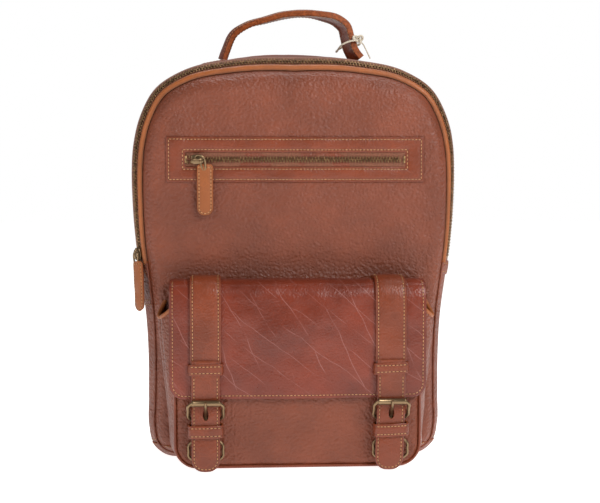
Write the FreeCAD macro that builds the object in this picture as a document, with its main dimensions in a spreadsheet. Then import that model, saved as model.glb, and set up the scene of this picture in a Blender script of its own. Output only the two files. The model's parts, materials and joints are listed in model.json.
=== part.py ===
import FreeCAD, Part
import os
import Sketcher
from FreeCAD import Vector

# Leather backpack. Millimetres, Z up, X to the wearer's right, the front faces -Y.
# The floor is z = 0 and y = 0 is the middle of the bag's main depth.
SIZES = {
    # outline of the bag, seen from the front
    "half_bottom": 147, "half_waist": 160, "half_top": 166,
    "waist_low": 130, "waist_high": 191, "shoulder": 398, "crown": 14,
    "corner_radius": 85, "base_radius": 20, "side_blend": 120,
    # depth of the bag and thickness of its leather
    "back_face": 60.5, "band_back": 58, "panel_edge": -60, "flange_back": -58,
    "panel_face": -72, "panel_inset": 8, "panel_round": 9, "leather": 2.5,
    "base_height": 15, "zip_end": 198, "roll_back": -50, "band_front": -31,
    # main zip
    "tape_thick": 1, "front_tape_y": -56, "back_tape_y": -27, "chain_mid": -46,
    "chain_half": 3.1, "chain_gap": 0.1, "chain_inset": 0.3,
    # inside
    "lining_front": -26, "pad_front": 50, "pad_inset": 6, "pad_lift": 8,
    "board_half": 125, "board_front": -50, "board_back": 45, "board_thick": 2,
    "sleeve_half": 130, "sleeve_front": 40, "sleeve_low": 12, "sleeve_high": 262, "sleeve_wall": 3,
    # front pocket and its flap
    "pocket_half": 120, "pocket_low": 2, "pocket_high": 171, "pocket_face": -112,
    "pocket_back_half": 131, "pocket_radius": 22, "piping": 1.5, "binding_low": 167,
    "flap_half": 125, "flap_low": 70, "flap_top": 184, "flap_face": -118, "flap_thick": 3,
    "flap_bend": 14, "flap_corner": 14,
    # straps, buckles and keepers on the flap
    "strap_x": 90, "strap_half": 15, "strap_thick": 3.5, "strap_end": 93,
    "billet_half": 13.5, "billet_front": -125, "billet_back": -122, "billet_top": 108, "billet_low": 2,
    "billet_round": 11, "slot_low": 50.5, "slot_high": 61.5, "slot_half": 2.6,
    "band_low": 94, "band_high": 105, "band_half": 17, "band_wall": 1.8, "loop_gap": 0.2,
    "bar_y": -117.5, "bar_z": 50, "roller_y": -129, "roller_z": 68, "wire": 3.2,
    "frame_half": 18.4, "roller_radius": 3.3, "roller_bore": 2.36, "roller_half": 13.5,
    "prong_length": 26, "prong_radius": 1.3, "prong_angle": 45, "eye_radius": 3.7, "eye_bore": 2.36,
    "eye_half": 1.5, "tab_slot_half": 2.2, "tab_half": 13.5, "tab_front": -119.6, "tab_back": -115.4,
    "tab_eye": 4.4, "keeper_low": 34, "keeper_high": 46, "keeper_back": -113.6,
    "ring_top": 28, "ring_low": 11.5, "ring_half": 16.5, "ring_wire": 1.5, "ring_bore": 1.6,
    "ring_eye": 3.4,
    "stud_z": 19.5, "stud_neck": 3, "stud_head": 4.2, "stud_neck_front": -119.2, "stud_front": -121.4,
    # pocket with a zip in the front panel
    "zip_z": 302, "frame_width": 257, "frame_height": 45, "window_width": 219, "window_height": 14,
    "frame_front": -74, "frame_corner": 4, "slot_width": 216, "slot_height": 7,
    "small_chain_half": 3, "small_chain_front": -74.6, "small_tape_front": -72.8,
    "pouch_half": 112, "pouch_low": 238, "pouch_high": 314, "pouch_back": -62, "pouch_wall": 1,
    # zip sliders and pulls
    "slider_x": -97, "slider_half": 6, "slider_high": 4.5, "slider_back": -74.9, "slider_front": -77.9,
    "bridge_half": 2.5, "bridge_high": 4, "bridge_front": -81, "tunnel_front": -80, "tunnel_high": 2,
    "link_y": -78.95, "link_wire": 0.8, "link_half": 4.8, "link_drop": 11,
    "pull_thick": 3, "pull_half": 7.5, "pull_neck": 3.4, "pull_bore": 0.95, "pull_length": 48,
    "main_slider_z": 208, "main_slider_out": 1.3, "main_slider_half": 7, "slider_thick": 3,
    "end_tab_high": 11, "end_tab_thick": 1.5,
    # carrying handle and tag string
    "handle_y": 35, "handle_hinge": 415.5, "handle_half": 74, "handle_top_half": 58,
    "handle_shoulder": 450, "handle_crown": 9, "handle_radius": 30, "handle_thick": 5,
    "handle_width": 24, "foot_radius": 4, "handle_flare": 440, "patch_thick": 1.5,
    "patch_in": 59, "patch_out": 86, "patch_front": 16, "patch_back": 54,
    "tag_z": 431.5, "tag_major": 12, "tag_wire": 1.1, "tag_ball": 5.5, "tag_x": 82.2,
    # shoulder straps, each built upright and then slanted about the bottom anchor
    "anchor_x": 115, "anchor_z": 25, "slant": 11, "anchor_half": 20, "anchor_thick": 4,
    "top_anchor_low": 353, "top_anchor_high": 373, "low_anchor_low": -14, "low_anchor_high": 5,
    "low_anchor_half": 16, "pad_thick": 9, "pad_half": 30, "pad_end_half": 20, "pad_tab_half": 15,
    "eye_y": 49.5, "pad_eye_z": 175, "web_eye_z": 159, "link_bar": 1.6, "link_bore": 1.9,
    "link_frame_half": 19, "web_half": 13, "web_thick": 3, "web_length": 152, "web_eye": 4,
    "run_y": -0.265, "run_z": -0.9643, "glide_start": 30, "glide_length": 22, "glide_half": 17,
    "glide_inner": 13.4, "glide_out": 4, "glide_in": 1.8,
}


class Size:
    """A length: its number now, and the sheet formula that drives it."""

    def __init__(self, number, text):
        self.number = float(number)
        self.text = text

    def __add__(self, other):
        return join(self, "+", other, self.number + size(other).number)

    def __radd__(self, other):
        return size(other) + self

    def __sub__(self, other):
        return join(self, "-", other, self.number - size(other).number)

    def __rsub__(self, other):
        return size(other) - self

    def __mul__(self, other):
        return join(self, "*", other, self.number * size(other).number)

    def __rmul__(self, other):
        return size(other) * self

    def __truediv__(self, other):
        return join(self, "/", other, self.number / size(other).number)

    def __neg__(self):
        return size(0) - self


def size(value):
    if isinstance(value, Size):
        return value
    return Size(value, "(%r)" % float(value))


def join(left, sign, right, number):
    return Size(number, "(%s %s %s)" % (left.text, sign, size(right).text))


class Table:
    """Gives each sheet value by its name."""

    def __getattr__(self, name):
        return Size(SIZES[name], "Sizes." + name)


S = Table()
doc = FreeCAD.newDocument("Backpack")
sheet = doc.addObject("Spreadsheet::Sheet", "Sizes")
for row, (name, value) in enumerate(SIZES.items(), start=1):
    sheet.set("A%d" % row, name)
    sheet.set("B%d" % row, str(value))
    sheet.setAlias("B%d" % row, name)
doc.recompute()

NODES = []
WIDE = 400


def bind(obj, prop, value):
    obj.setExpression(prop, size(value).text)


def place(obj, x=0, y=0, z=0):
    bind(obj, "Placement.Base.x", x)
    bind(obj, "Placement.Base.y", y)
    bind(obj, "Placement.Base.z", z)
    return obj


def turn(obj, axis, angle):
    """Turn about a row axis, keeping the place that the sheet gives."""
    obj.Placement = FreeCAD.Placement(obj.Placement.Base, FreeCAD.Rotation(Vector(*axis), size(angle).number))
    bind(obj, "Placement.Rotation.Angle", angle)
    return obj


def named(obj, label, node):
    obj.Label = label if node else "shape_" + label
    if node:
        NODES.append(obj)
    return obj


def box(label, x, y, z, node=False):
    obj = doc.addObject("Part::Box", "Box")
    bind(obj, "Length", x[1] - x[0])
    bind(obj, "Width", y[1] - y[0])
    bind(obj, "Height", z[1] - z[0])
    place(obj, x[0], y[0], z[0])
    return named(obj, label, node)


def rod(label, start, axis, radius, length):
    """A cylinder from a point along +X, +Y or +Z, given by the axis letter."""
    obj = doc.addObject("Part::Cylinder", "Rod")
    bind(obj, "Radius", radius)
    bind(obj, "Height", length)
    turns = {"X": ((0, 1, 0), 90), "Y": ((-1, 0, 0), 90), "Z": ((0, 0, 1), 0)}
    direction, angle = turns[axis]
    obj.Placement = FreeCAD.Placement(Vector(), FreeCAD.Rotation(Vector(*direction), angle))
    place(obj, *start)
    return named(obj, label, False)


def boolean(kind, label, base, tool, node=False):
    obj = doc.addObject(kind, "Solid")
    obj.Base = base
    obj.Tool = tool
    return named(obj, label, node)


def cut(label, base, tool, node=False):
    return boolean("Part::Cut", label, base, tool, node)


def common(label, base, tool, node=False):
    return boolean("Part::Common", label, base, tool, node)


def fuse(label, shapes, node=False):
    obj = doc.addObject("Part::MultiFuse", "Union")
    obj.Shapes = shapes
    return named(obj, label, node)


def group(label, shapes):
    obj = doc.addObject("Part::Compound", "Group")
    obj.Links = shapes
    return named(obj, label, True)


def fix_point(sketch, geo, end, point):
    """Hold a sketch point at a bound distance from the origin."""
    for kind, axis, value in (("DistanceX", -2, size(point[0])), ("DistanceY", -1, size(point[1]))):
        if abs(value.number) < 1e-9:
            sketch.addConstraint(Sketcher.Constraint("PointOnObject", geo, end, axis))
            continue
        if value.number > 0:
            index = sketch.addConstraint(Sketcher.Constraint(kind, -1, 1, geo, end, value.number))
            bind(sketch, "Constraints[%d]" % index, value)
        else:
            index = sketch.addConstraint(Sketcher.Constraint(kind, geo, end, -1, 1, -value.number))
            bind(sketch, "Constraints[%d]" % index, -value)


def new_sketch(body, role):
    sketch = body.newObject("Sketcher::SketchObject", body.Name + "Sketch")
    plane = [item for item in body.Origin.OriginFeatures if item.Role == role][0]
    sketch.AttachmentSupport = [(plane, "")]
    sketch.MapMode = "FlatFace"
    return sketch


def pad(body, sketch, length):
    feature = body.newObject("PartDesign::Pad", body.Name + "Pad")
    feature.Profile = sketch
    bind(feature, "Length", length)
    doc.recompute()
    return feature


def polygon(body, role, points):
    """A closed sketch of straight lines through the points."""
    sketch = new_sketch(body, role)
    spots = [Vector(size(u).number, size(v).number, 0) for u, v in points]
    count = len(spots)
    for i in range(count):
        sketch.addGeometry(Part.LineSegment(spots[i], spots[(i + 1) % count]), False)
    for i in range(count):
        sketch.addConstraint(Sketcher.Constraint("Coincident", i, 2, (i + 1) % count, 1))
    for i in range(count):
        fix_point(sketch, i, 1, points[i])
    return sketch


def fillet(body, feature, radius, wanted):
    """Round the edges of a feature whose end points pass a test."""
    names = []
    for i, edge in enumerate(feature.Shape.Edges, start=1):
        if len(edge.Vertexes) == 2 and wanted(edge.Vertexes[0].Point, edge.Vertexes[1].Point):
            names.append("Edge%d" % i)
    result = body.newObject("PartDesign::Fillet", body.Name + "Fillet")
    result.Base = (feature, names)
    bind(result, "Radius", radius)
    doc.recompute()
    return result


def along(axis, spots):
    """A test for edges along an axis that pass through one of the spots, in the other two axes."""
    others = [i for i in range(3) if i != axis]

    def test(a, b):
        if abs(a[axis] - b[axis]) < 0.01:
            return False
        for spot in spots:
            near = [abs(a[k] - spot[i]) < 0.3 and abs(b[k] - spot[i]) < 0.3 for i, k in enumerate(others)]
            if all(near):
                return True
        return False
    return test


def side_shape(label, points, half, centre=0, bends=(), node=False):
    """A solid with the given outline in Y and Z, as wide as twice half along X."""
    body = doc.addObject("PartDesign::Body", "Side")
    feature = pad(body, polygon(body, "YZ_Plane", points), 2 * half)
    for radius, spot in bends:
        spot = (size(spot[0]).number, size(spot[1]).number)
        feature = fillet(body, feature, radius, along(0, [spot]))
    place(body, centre - half)
    return named(body, label, node)


def front_shape(label, points, back, front, corners=(), node=False):
    """A solid with the given outline in X and Z, from one depth to another."""
    body = doc.addObject("PartDesign::Body", "Front")
    feature = pad(body, polygon(body, "XZ_Plane", points), back - front)
    for radius, spots in corners:
        spots = [(size(u).number, size(v).number) for u, v in spots]
        feature = fillet(body, feature, radius, along(1, spots))
    place(body, 0, back)
    return named(body, label, node)


def arch(label, halves, low, shoulder, crown, radii, back, front, face_round=None):
    """The bag's kind of outline: straight sides, a crowned top and rounded corners.

    halves lists (half width, height) up the side, from the bottom to the shoulder."""
    body = doc.addObject("PartDesign::Body", "Arch")
    sketch = new_sketch(body, "XZ_Plane")
    left = [(-half, z) for half, z in halves]
    right = [(half, z) for half, z in halves]
    chain = left[::-1] + right
    spots = [Vector(size(u).number, size(v).number, 0) for u, v in chain]
    for i in range(len(spots) - 1):
        sketch.addGeometry(Part.LineSegment(spots[i], spots[i + 1]), False)
    last = len(spots) - 1
    top = Vector(0, size(shoulder).number + size(crown).number, 0)
    sketch.addGeometry(Part.Arc(spots[-1], top, spots[0]), False)
    for i in range(last):
        sketch.addConstraint(Sketcher.Constraint("Coincident", i, 2, i + 1, 1))
    sketch.addConstraint(Sketcher.Constraint("Coincident", last, 2, 0, 1))
    for i in range(last):
        fix_point(sketch, i, 1, chain[i])
    fix_point(sketch, last, 1, chain[last])
    half = size(halves[-1][0])
    radius = (half * half + size(crown) * crown) / (2 * size(crown))
    index = sketch.addConstraint(Sketcher.Constraint("Radius", last, radius.number))
    bind(sketch, "Constraints[%d]" % index, radius)
    feature = pad(body, sketch, back - front)
    top_radius, low_radius, blend = radii
    ends = [(spots[0].x, spots[0].y), (spots[-1].x, spots[-1].y)]
    feature = fillet(body, feature, top_radius, along(1, ends))
    if low_radius is not None:
        foot, level = size(halves[0][0]).number, size(halves[0][1]).number
        feature = fillet(body, feature, low_radius, along(1, [(-foot, level), (foot, level)]))
    if blend is not None:
        kinks = []
        for width, z in halves[1:-1]:
            kinks.append((size(width).number, size(z).number))
            kinks.append((-size(width).number, size(z).number))
        feature = fillet(body, feature, blend, along(1, kinks))
    if face_round is not None:
        depth = -size(back - front).number
        feature = fillet(body, feature, face_round, lambda a, b: abs(a.y - depth) < 0.01 and abs(b.y - depth) < 0.01)
    place(body, 0, back)
    return named(body, label, False)


def bag(label, inset, back, front, lift=None, face_round=None):
    """The bag's own outline, moved in by an inset."""
    inset = size(inset)
    lift = inset if lift is None else size(lift)
    halves = [(S.half_bottom - inset, lift), (S.half_bottom - inset, S.waist_low),
              (S.half_waist - inset, S.waist_high), (S.half_top - inset, S.shoulder - inset)]
    radii = (S.corner_radius - inset, S.base_radius - inset, S.side_blend)
    return arch(label, halves, lift, S.shoulder - inset, S.crown, radii, size(back), size(front), face_round)


def zone(label, y=(-WIDE, WIDE), z=(-WIDE, 2 * WIDE), x=(-WIDE, WIDE)):
    return box(label, (size(x[0]), size(x[1])), (size(y[0]), size(y[1])), (size(z[0]), size(z[1])))


def leather_shell():
    """Band, flange and dished front panel as one skin, later split into its pieces."""
    outer = fuse("shell_outer", [
        bag("outer_band", 0, S.band_back, S.panel_edge),
        bag("outer_dish", S.panel_inset, S.panel_edge + 1, S.panel_face, 0.5, S.panel_round)])
    inner = fuse("shell_inner", [
        bag("inner_band", S.leather, S.band_back + 1, S.flange_back),
        bag("inner_dish", S.panel_inset + S.leather, S.flange_back + 1, S.panel_face + S.leather, 3,
            S.panel_round - S.leather)])
    return cut("shell", outer, inner)


def split_shell():
    shell = leather_shell()
    over = zone("over_base", z=(S.base_height, 2 * WIDE))
    common("base_tray", shell, zone("base", z=(-WIDE, S.base_height)), True)
    upright = common("shell_upright", shell, over)
    slot = zone("zip_slot", (S.flange_back - 5, S.band_front), (S.zip_end, 2 * WIDE))
    sides = common("shell_sides", upright, zone("sides", (S.flange_back, WIDE)))
    cut("side_band", sides, slot, True)
    low = zone("below_fold", z=(-WIDE, S.zip_end))
    high = zone("above_fold", z=(S.zip_end, 2 * WIDE))
    face = common("shell_face", upright, zone("face", (-WIDE, S.panel_edge)))
    common("front_panel_lower", face, low, True)
    mouth = box("pocket_mouth", (-S.slot_width / 2, S.slot_width / 2), (S.panel_face - 1, S.panel_face + 4),
                (S.zip_z - S.slot_height / 2, S.zip_z + S.slot_height / 2))
    cut("front_panel_upper", common("shell_face_high", face, high), mouth, True)
    rim = common("shell_rim", upright, zone("rim", (S.panel_edge, S.flange_back)))
    common("panel_binding_lower", rim, low, True)
    roll = common("shell_roll", upright, zone("roll", (S.panel_edge, S.roll_back)))
    common("panel_binding_upper", roll, high, True)


def zip_strip(label, inset, thick, back, front):
    """A strip that follows the outline above the zip's ends."""
    hoop = cut("hoop_" + label, bag("out_" + label, inset, back, front),
               bag("in_" + label, size(inset) + thick, size(back) + 1, size(front) - 1))
    return common(label, hoop, zone("part_" + label, z=(S.zip_end, 2 * WIDE)), True)


def main_zip():
    zip_strip("main_zip_front_tape", S.leather, S.tape_thick, S.chain_mid - 0.2, S.front_tape_y)
    zip_strip("main_zip_back_tape", S.leather, S.tape_thick, S.back_tape_y, S.chain_mid + 0.2)
    deep = S.leather - S.chain_inset
    zip_strip("main_zip_front_teeth", S.chain_inset, deep, S.chain_mid - S.chain_gap, S.chain_mid - S.chain_half)
    zip_strip("main_zip_back_teeth", S.chain_inset, deep, S.chain_mid + S.chain_half, S.chain_mid + S.chain_gap)
    tabs = []
    for side in (-1, 1):
        edge = S.half_waist + 0.3
        x = (edge, edge + S.end_tab_thick) if side > 0 else (-edge - S.end_tab_thick, -edge)
        tabs.append(box("end_tab", x, (S.chain_mid - 8, S.chain_mid + 8),
                        (S.zip_end - S.end_tab_high, S.zip_end - 0.5)))
    group("zip_end_tabs", tabs)


def inside():
    panel = bag("back_panel", 0, S.back_face, S.band_back)
    named(panel, "back_panel", True)
    pad_body = bag("back_pad", S.pad_inset, S.band_back, S.pad_front, S.pad_lift)
    named(pad_body, "back_pad", True)
    hoop = cut("lining_hoop", bag("lining_out", S.leather, S.pad_front, S.lining_front),
               bag("lining_in", S.leather + 1, S.pad_front + 1, S.lining_front - 1))
    named(hoop, "lining", True)
    floor = S.leather + 1
    box("base_board", (-S.board_half, S.board_half), (S.board_front, S.board_back),
        (floor, floor + S.board_thick), True)
    wall = S.sleeve_wall
    outer = box("sleeve_outer", (-S.sleeve_half, S.sleeve_half), (S.sleeve_front, S.pad_front),
                (S.sleeve_low, S.sleeve_high))
    inner = box("sleeve_inner", (wall - S.sleeve_half, S.sleeve_half - wall),
                (S.sleeve_front + wall, S.pad_front + 5), (S.sleeve_low + wall, S.sleeve_high + 5))
    cut("laptop_sleeve", outer, inner, True)


def pocket_block(label, grow, low, high, back, front):
    half = S.pocket_half + grow
    points = [(-half, low), (half, low), (half, high), (-half, high)]
    corner = (S.pocket_radius + grow, [(-half, low), (half, low)])
    return front_shape(label, points, back, front, [corner])


def gusset_block(label, grow, low, high):
    """The pocket's flared body, wider where it meets the front panel."""
    body = doc.addObject("PartDesign::Body", "Gusset")
    sections = []
    for half in (S.pocket_back_half + grow, S.pocket_half + grow):
        sections.append(polygon(body, "XZ_Plane", [(-half, low), (half, low), (half, high), (-half, high)]))
    depth = S.panel_face - S.pocket_face - S.leather
    bind(sections[1], "AttachmentOffset.Base.z", depth)
    loft = body.newObject("PartDesign::AdditiveLoft", "GussetLoft")
    loft.Profile = sections[0]
    loft.Sections = [sections[1]]
    loft.Ruled = True
    doc.recompute()
    level = size(low).number
    fillet(body, loft, S.pocket_radius + grow,
           lambda a, b: abs(a.z - level) < 0.01 and abs(b.z - level) < 0.01 and abs(a.y - b.y) > 1)
    place(body, 0, S.panel_face)
    return named(body, label, False)


def front_pocket():
    wall = S.leather
    low = S.pocket_low
    face = pocket_block("pocket_front", 0, low, S.pocket_high, S.pocket_face + wall, S.pocket_face)
    named(face, "pocket_front", True)
    body = cut("gusset_whole", gusset_block("gusset_out", 0, low, S.pocket_high),
               gusset_block("gusset_in", -wall, low + wall, S.pocket_high + 5))
    rim = zone("gusset_rim", z=(S.binding_low, 2 * WIDE))
    common("pocket_binding", body, rim, True)
    cut("pocket_gusset", body, rim, True)
    cord = S.piping
    around = pocket_block("piping_out", cord, low - cord, S.binding_low, S.pocket_face + S.leather,
                          S.pocket_face - 0.5)
    within = pocket_block("piping_in", 0, low, S.pocket_high + 5, S.pocket_face + 3 * cord, S.pocket_face - 3)
    cut("pocket_piping", around, within, True)
    studs = []
    for side in (-1, 1):
        x = side * S.strap_x
        neck = rod("stud_neck", (x, S.stud_neck_front, S.stud_z), "Y", S.stud_neck, S.pocket_face - S.stud_neck_front)
        head = rod("stud_head", (x, S.stud_front, S.stud_z), "Y", S.stud_head, S.stud_neck_front - S.stud_front)
        studs.append(fuse("stud", [neck, head]))
    group("ring_studs", studs)


def flap():
    thick = S.flap_thick
    face = S.flap_face
    top = S.flap_top
    points = [(S.panel_face, top - thick), (S.panel_face, top), (face, top), (face, S.flap_low),
              (face + thick, S.flap_low), (face + thick, top - thick)]
    bends = [(S.flap_bend, (face, top)), (S.flap_bend - thick, (face + thick, top - thick))]
    sheet_body = side_shape("flap_sheet", points, S.flap_half, 0, bends)
    half = S.flap_half
    back = S.panel_face + 5
    outline = [(-half, S.flap_low), (half, S.flap_low), (half, top + 5), (-half, top + 5)]
    corners = [(S.flap_corner, [(-half, S.flap_low), (half, S.flap_low)])]
    common("pocket_flap", sheet_body, front_shape("flap_outline", outline, back, face - 5, corners), True)


def strap_set():
    straps, billets, bands, keepers = [], [], [], []
    thick = S.strap_thick
    face = S.flap_face
    top = S.flap_top
    for side in (-1, 1):
        x = side * S.strap_x
        points = [(S.panel_face, top), (S.panel_face, top + thick), (face - thick, top + thick),
                  (face - thick, S.strap_end), (face, S.strap_end), (face, top)]
        bends = [(S.flap_bend + thick, (face - thick, top + thick)), (S.flap_bend, (face, top))]
        straps.append(side_shape("strap", points, S.strap_half, x, bends))
        half = S.billet_half
        outline = [(x - half, S.billet_low), (x + half, S.billet_low), (x + half, S.billet_top),
                   (x - half, S.billet_top)]
        corners = [(S.billet_round, [(x - half, S.billet_low), (x + half, S.billet_low)])]
        strip = front_shape("billet_strip", outline, S.billet_back, S.billet_front, corners)
        hole = box("prong_hole", (x - S.slot_half, x + S.slot_half), (S.billet_front - 1, S.billet_back + 1),
                   (S.slot_low, S.slot_high))
        billets.append(cut("billet", strip, hole))
        bands.append(loop("band", x, S.billet_front - S.loop_gap, face, (S.band_low, S.band_high), False))
        keepers.append(loop("keeper", x, S.billet_front - S.loop_gap, S.keeper_back,
                            (S.keeper_low, S.keeper_high), True))
    group("flap_straps", straps)
    group("billets", billets)
    group("strap_bands", bands)
    group("keepers", keepers)


def loop(label, x, inner_front, back, heights, closed):
    """A leather loop round a strap, open at the back where it is sewn flat to the flap."""
    wall = S.band_wall
    outer = box(label + "_out", (x - S.band_half, x + S.band_half), (inner_front - wall, back), heights)
    reach = back - wall if closed else back + 1
    inner = box(label + "_in", (x - S.band_half + wall, x + S.band_half - wall), (inner_front, reach),
                (heights[0] - 1, heights[1] + 1))
    return cut(label, outer, inner)


def buckles():
    frames, tabs = [], []
    for side, word in ((-1, "left"), (1, "right")):
        x = side * S.strap_x
        frames.append(buckle_frame(x))
        tabs.append(lower_tab(x))
        roller(x, word)
        prong(x, word)
        tab_ring(x, word)
    group("buckle_frames", frames)
    group("lower_tabs", tabs)


def bar_box(label, x, half, y, z, thick):
    return box(label, (x - half, x + half), (y - thick / 2, y + thick / 2), (z - thick / 2, z + thick / 2))


def buckle_frame(x):
    """Two square bars along X, joined by two sloping sides."""
    wire = S.wire
    bars = [bar_box("frame_top", x, S.frame_half, S.roller_y, S.roller_z, wire),
            bar_box("frame_low", x, S.frame_half, S.bar_y, S.bar_z, wire)]
    for side in (-1, 1):
        points = [(S.roller_y - wire / 2, S.roller_z - wire / 2), (S.roller_y - wire / 2, S.roller_z + wire / 2),
                  (S.roller_y + wire / 2, S.roller_z + wire / 2), (S.bar_y + wire / 2, S.bar_z + wire / 2),
                  (S.bar_y + wire / 2, S.bar_z - wire / 2), (S.bar_y - wire / 2, S.bar_z - wire / 2)]
        bars.append(side_shape("frame_side", points, wire / 2, x + side * (S.frame_half - wire / 2)))
    return fuse("buckle_frame", bars)


def roller(x, word):
    start = (x - S.roller_half, S.roller_y, S.roller_z)
    tube = rod("roller_out", start, "X", S.roller_radius, 2 * S.roller_half)
    bore = rod("roller_in", (start[0] - 1, start[1], start[2]), "X", S.roller_bore, 2 * S.roller_half + 2)
    cut("roller_" + word, tube, bore, True)


def prong(x, word):
    """An eye round the lower bar and a straight tongue that lies on the roller."""
    eye = rod("eye_out", (x - S.eye_half, S.bar_y, S.bar_z), "X", S.eye_radius, 2 * S.eye_half)
    bore = rod("eye_in", (x - S.eye_half - 1, S.bar_y, S.bar_z), "X", S.eye_bore, 2 * S.eye_half + 2)
    tongue = doc.addObject("Part::Cylinder", "Tongue")
    bind(tongue, "Radius", S.prong_radius)
    bind(tongue, "Height", S.prong_length)
    place(tongue, x, S.bar_y, S.bar_z)
    turn(tongue, (1, 0, 0), S.prong_angle)
    named(tongue, "tongue", False)
    cut("prong_" + word, fuse("prong_whole", [eye, tongue]), bore, True)


def lower_tab(x):
    """Doubled leather from the buckle's lower bar down to the ring, with an eye at each end."""
    half = S.tab_half
    length = 2 * half
    slab = box("tab_slab", (x - half, x + half), (S.tab_front, S.tab_back), (S.ring_top, S.bar_z))
    upper = rod("tab_eye_high", (x - half, S.bar_y, S.bar_z), "X", S.tab_eye, length)
    lower = rod("tab_eye_low", (x - half, S.bar_y, S.ring_top), "X", S.ring_eye, length)
    whole = fuse("tab_whole", [slab, upper, lower])
    bores = fuse("tab_bores", [
        rod("tab_bore_high", (x - half - 1, S.bar_y, S.bar_z), "X", S.eye_bore, length + 2),
        rod("tab_bore_low", (x - half - 1, S.bar_y, S.ring_top), "X", S.ring_bore, length + 2),
        box("tab_notch", (x - S.tab_slot_half, x + S.tab_slot_half), (S.bar_y - 8, S.bar_y + 8),
            (S.bar_z - 6, S.bar_z + 8))])
    return cut("lower_tab", whole, bores)


def wire_loop(label, centre, half, top, low, radius, node=False):
    """A rectangle of round wire, flat in X and Z at one depth."""
    x, y = centre
    rods = [rod("loop_top", (x - half, y, top), "X", radius, 2 * half),
            rod("loop_low", (x - half, y, low), "X", radius, 2 * half),
            rod("loop_left", (x - half, y, low), "Z", radius, top - low),
            rod("loop_right", (x + half, y, low), "Z", radius, top - low)]
    for cx in (x - half, x + half):
        for z in (top, low):
            ball = doc.addObject("Part::Sphere", "Ball")
            bind(ball, "Radius", radius)
            rods.append(named(place(ball, cx, y, z), "loop_corner", False))
    return fuse(label, rods, node)


def tab_ring(x, word):
    wire_loop("tab_ring_" + word, (x, S.bar_y), S.ring_half, S.ring_top, S.ring_low, S.ring_wire, True)


def front_zip():
    z = S.zip_z
    w, h = S.frame_width / 2, S.frame_height / 2
    corners = [(-w, z - h), (w, z - h), (w, z + h), (-w, z + h)]
    plate = front_shape("frame_plate", corners, S.panel_face, S.frame_front, [(S.frame_corner, corners)])
    w, h = S.window_width / 2, S.window_height / 2
    window = box("frame_window", (-w, w), (S.frame_front - 1, S.panel_face + 1), (z - h, z + h))
    cut("zip_frame", plate, window, True)
    box("front_zip_tape", (-w, w), (S.small_tape_front, S.panel_face), (z - h, z + h), True)
    box("front_zip_teeth", (-w, w), (S.small_chain_front, S.small_tape_front),
        (z - S.small_chain_half, z + S.small_chain_half), True)
    half, wall = S.pouch_half, S.pouch_wall
    front = S.panel_face + S.leather
    outer = box("pouch_out", (-half, half), (front, S.pouch_back), (S.pouch_low, S.pouch_high))
    inner = box("pouch_in", (wall - half, half - wall), (front - 1, S.pouch_back - wall),
                (S.pouch_low + wall, S.pouch_high - wall))
    cut("front_zip_pouch", outer, inner, True)


def front_pull():
    x, z = S.slider_x, S.zip_z
    plate = box("slider_plate", (x - S.slider_half, x + S.slider_half), (S.slider_front, S.slider_back),
                (z - S.slider_high, z + S.slider_high))
    bridge = box("slider_bridge", (x - S.bridge_half, x + S.bridge_half), (S.bridge_front, S.slider_front),
                 (z - S.bridge_high, z + S.bridge_high))
    tunnel = box("slider_tunnel", (x - S.bridge_half - 1, x + S.bridge_half + 1),
                 (S.tunnel_front, S.slider_front), (z - S.tunnel_high, z + S.tunnel_high))
    cut("front_slider", fuse("slider_whole", [plate, bridge]), tunnel, True)
    low = z - S.link_drop
    wire_loop("front_pull_link", (x, S.link_y), S.link_half, z, low, S.link_wire, True)
    tab = pull_tab("front_tab_blank", x, low, S.link_y)
    bore = rod("front_tab_bore", (x - 10, S.link_y, low), "X", S.pull_bore, 20)
    cut("front_pull_tab", tab, bore, True)


def pull_tab(label, x, eye_z, y):
    """A leather tab with a narrow neck, hanging from an eye."""
    neck, half = S.pull_neck, S.pull_half
    top, low = eye_z + 2.5, eye_z - S.pull_length
    points = [(x - half, low), (x + half, low), (x + half, eye_z - 8), (x + neck, eye_z - 3), (x + neck, top),
              (x - neck, top), (x - neck, eye_z - 3), (x - half, eye_z - 8)]
    corners = [(S.pull_half - 1.5, [(x - half, low), (x + half, low)])]
    return front_shape(label, points, y + S.pull_thick / 2, y - S.pull_thick / 2, corners)


def main_pull():
    """The main zip's slider and pull: the front pull's shapes turned to face the bag's side."""
    z = S.main_slider_z
    edge = -(S.half_waist + S.main_slider_out)
    mid = S.chain_mid
    plate = box("main_plate", (edge - S.slider_thick, edge), (mid - S.slider_high, mid + S.slider_high),
                (z - S.main_slider_half, z + S.main_slider_half))
    out = edge - S.slider_thick
    bridge = box("main_bridge", (out - 3.1, out), (mid - S.bridge_half, mid + S.bridge_half),
                 (z - S.bridge_high, z + S.bridge_high))
    tunnel = box("main_tunnel", (out - 2.1, out), (mid - 5, mid + 5), (z - S.tunnel_high, z + S.tunnel_high))
    cut("main_slider", fuse("main_slider_whole", [plate, bridge]), tunnel, True)
    link_x = out - 1.05
    low = z - S.link_drop
    link = wire_loop("main_pull_link", (size(0), size(0)), S.link_half, z, low, S.link_wire, True)
    turn(place(link, link_x, mid), (0, 0, 1), 90)
    blank = pull_tab("main_tab_blank", size(0), low, size(0))
    bore = rod("main_tab_bore", (size(-10), size(0), low), "X", S.pull_bore, 20)
    tab = cut("main_pull_tab", blank, bore, True)
    turn(place(tab, link_x, mid), (0, 0, 1), 90)


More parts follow.
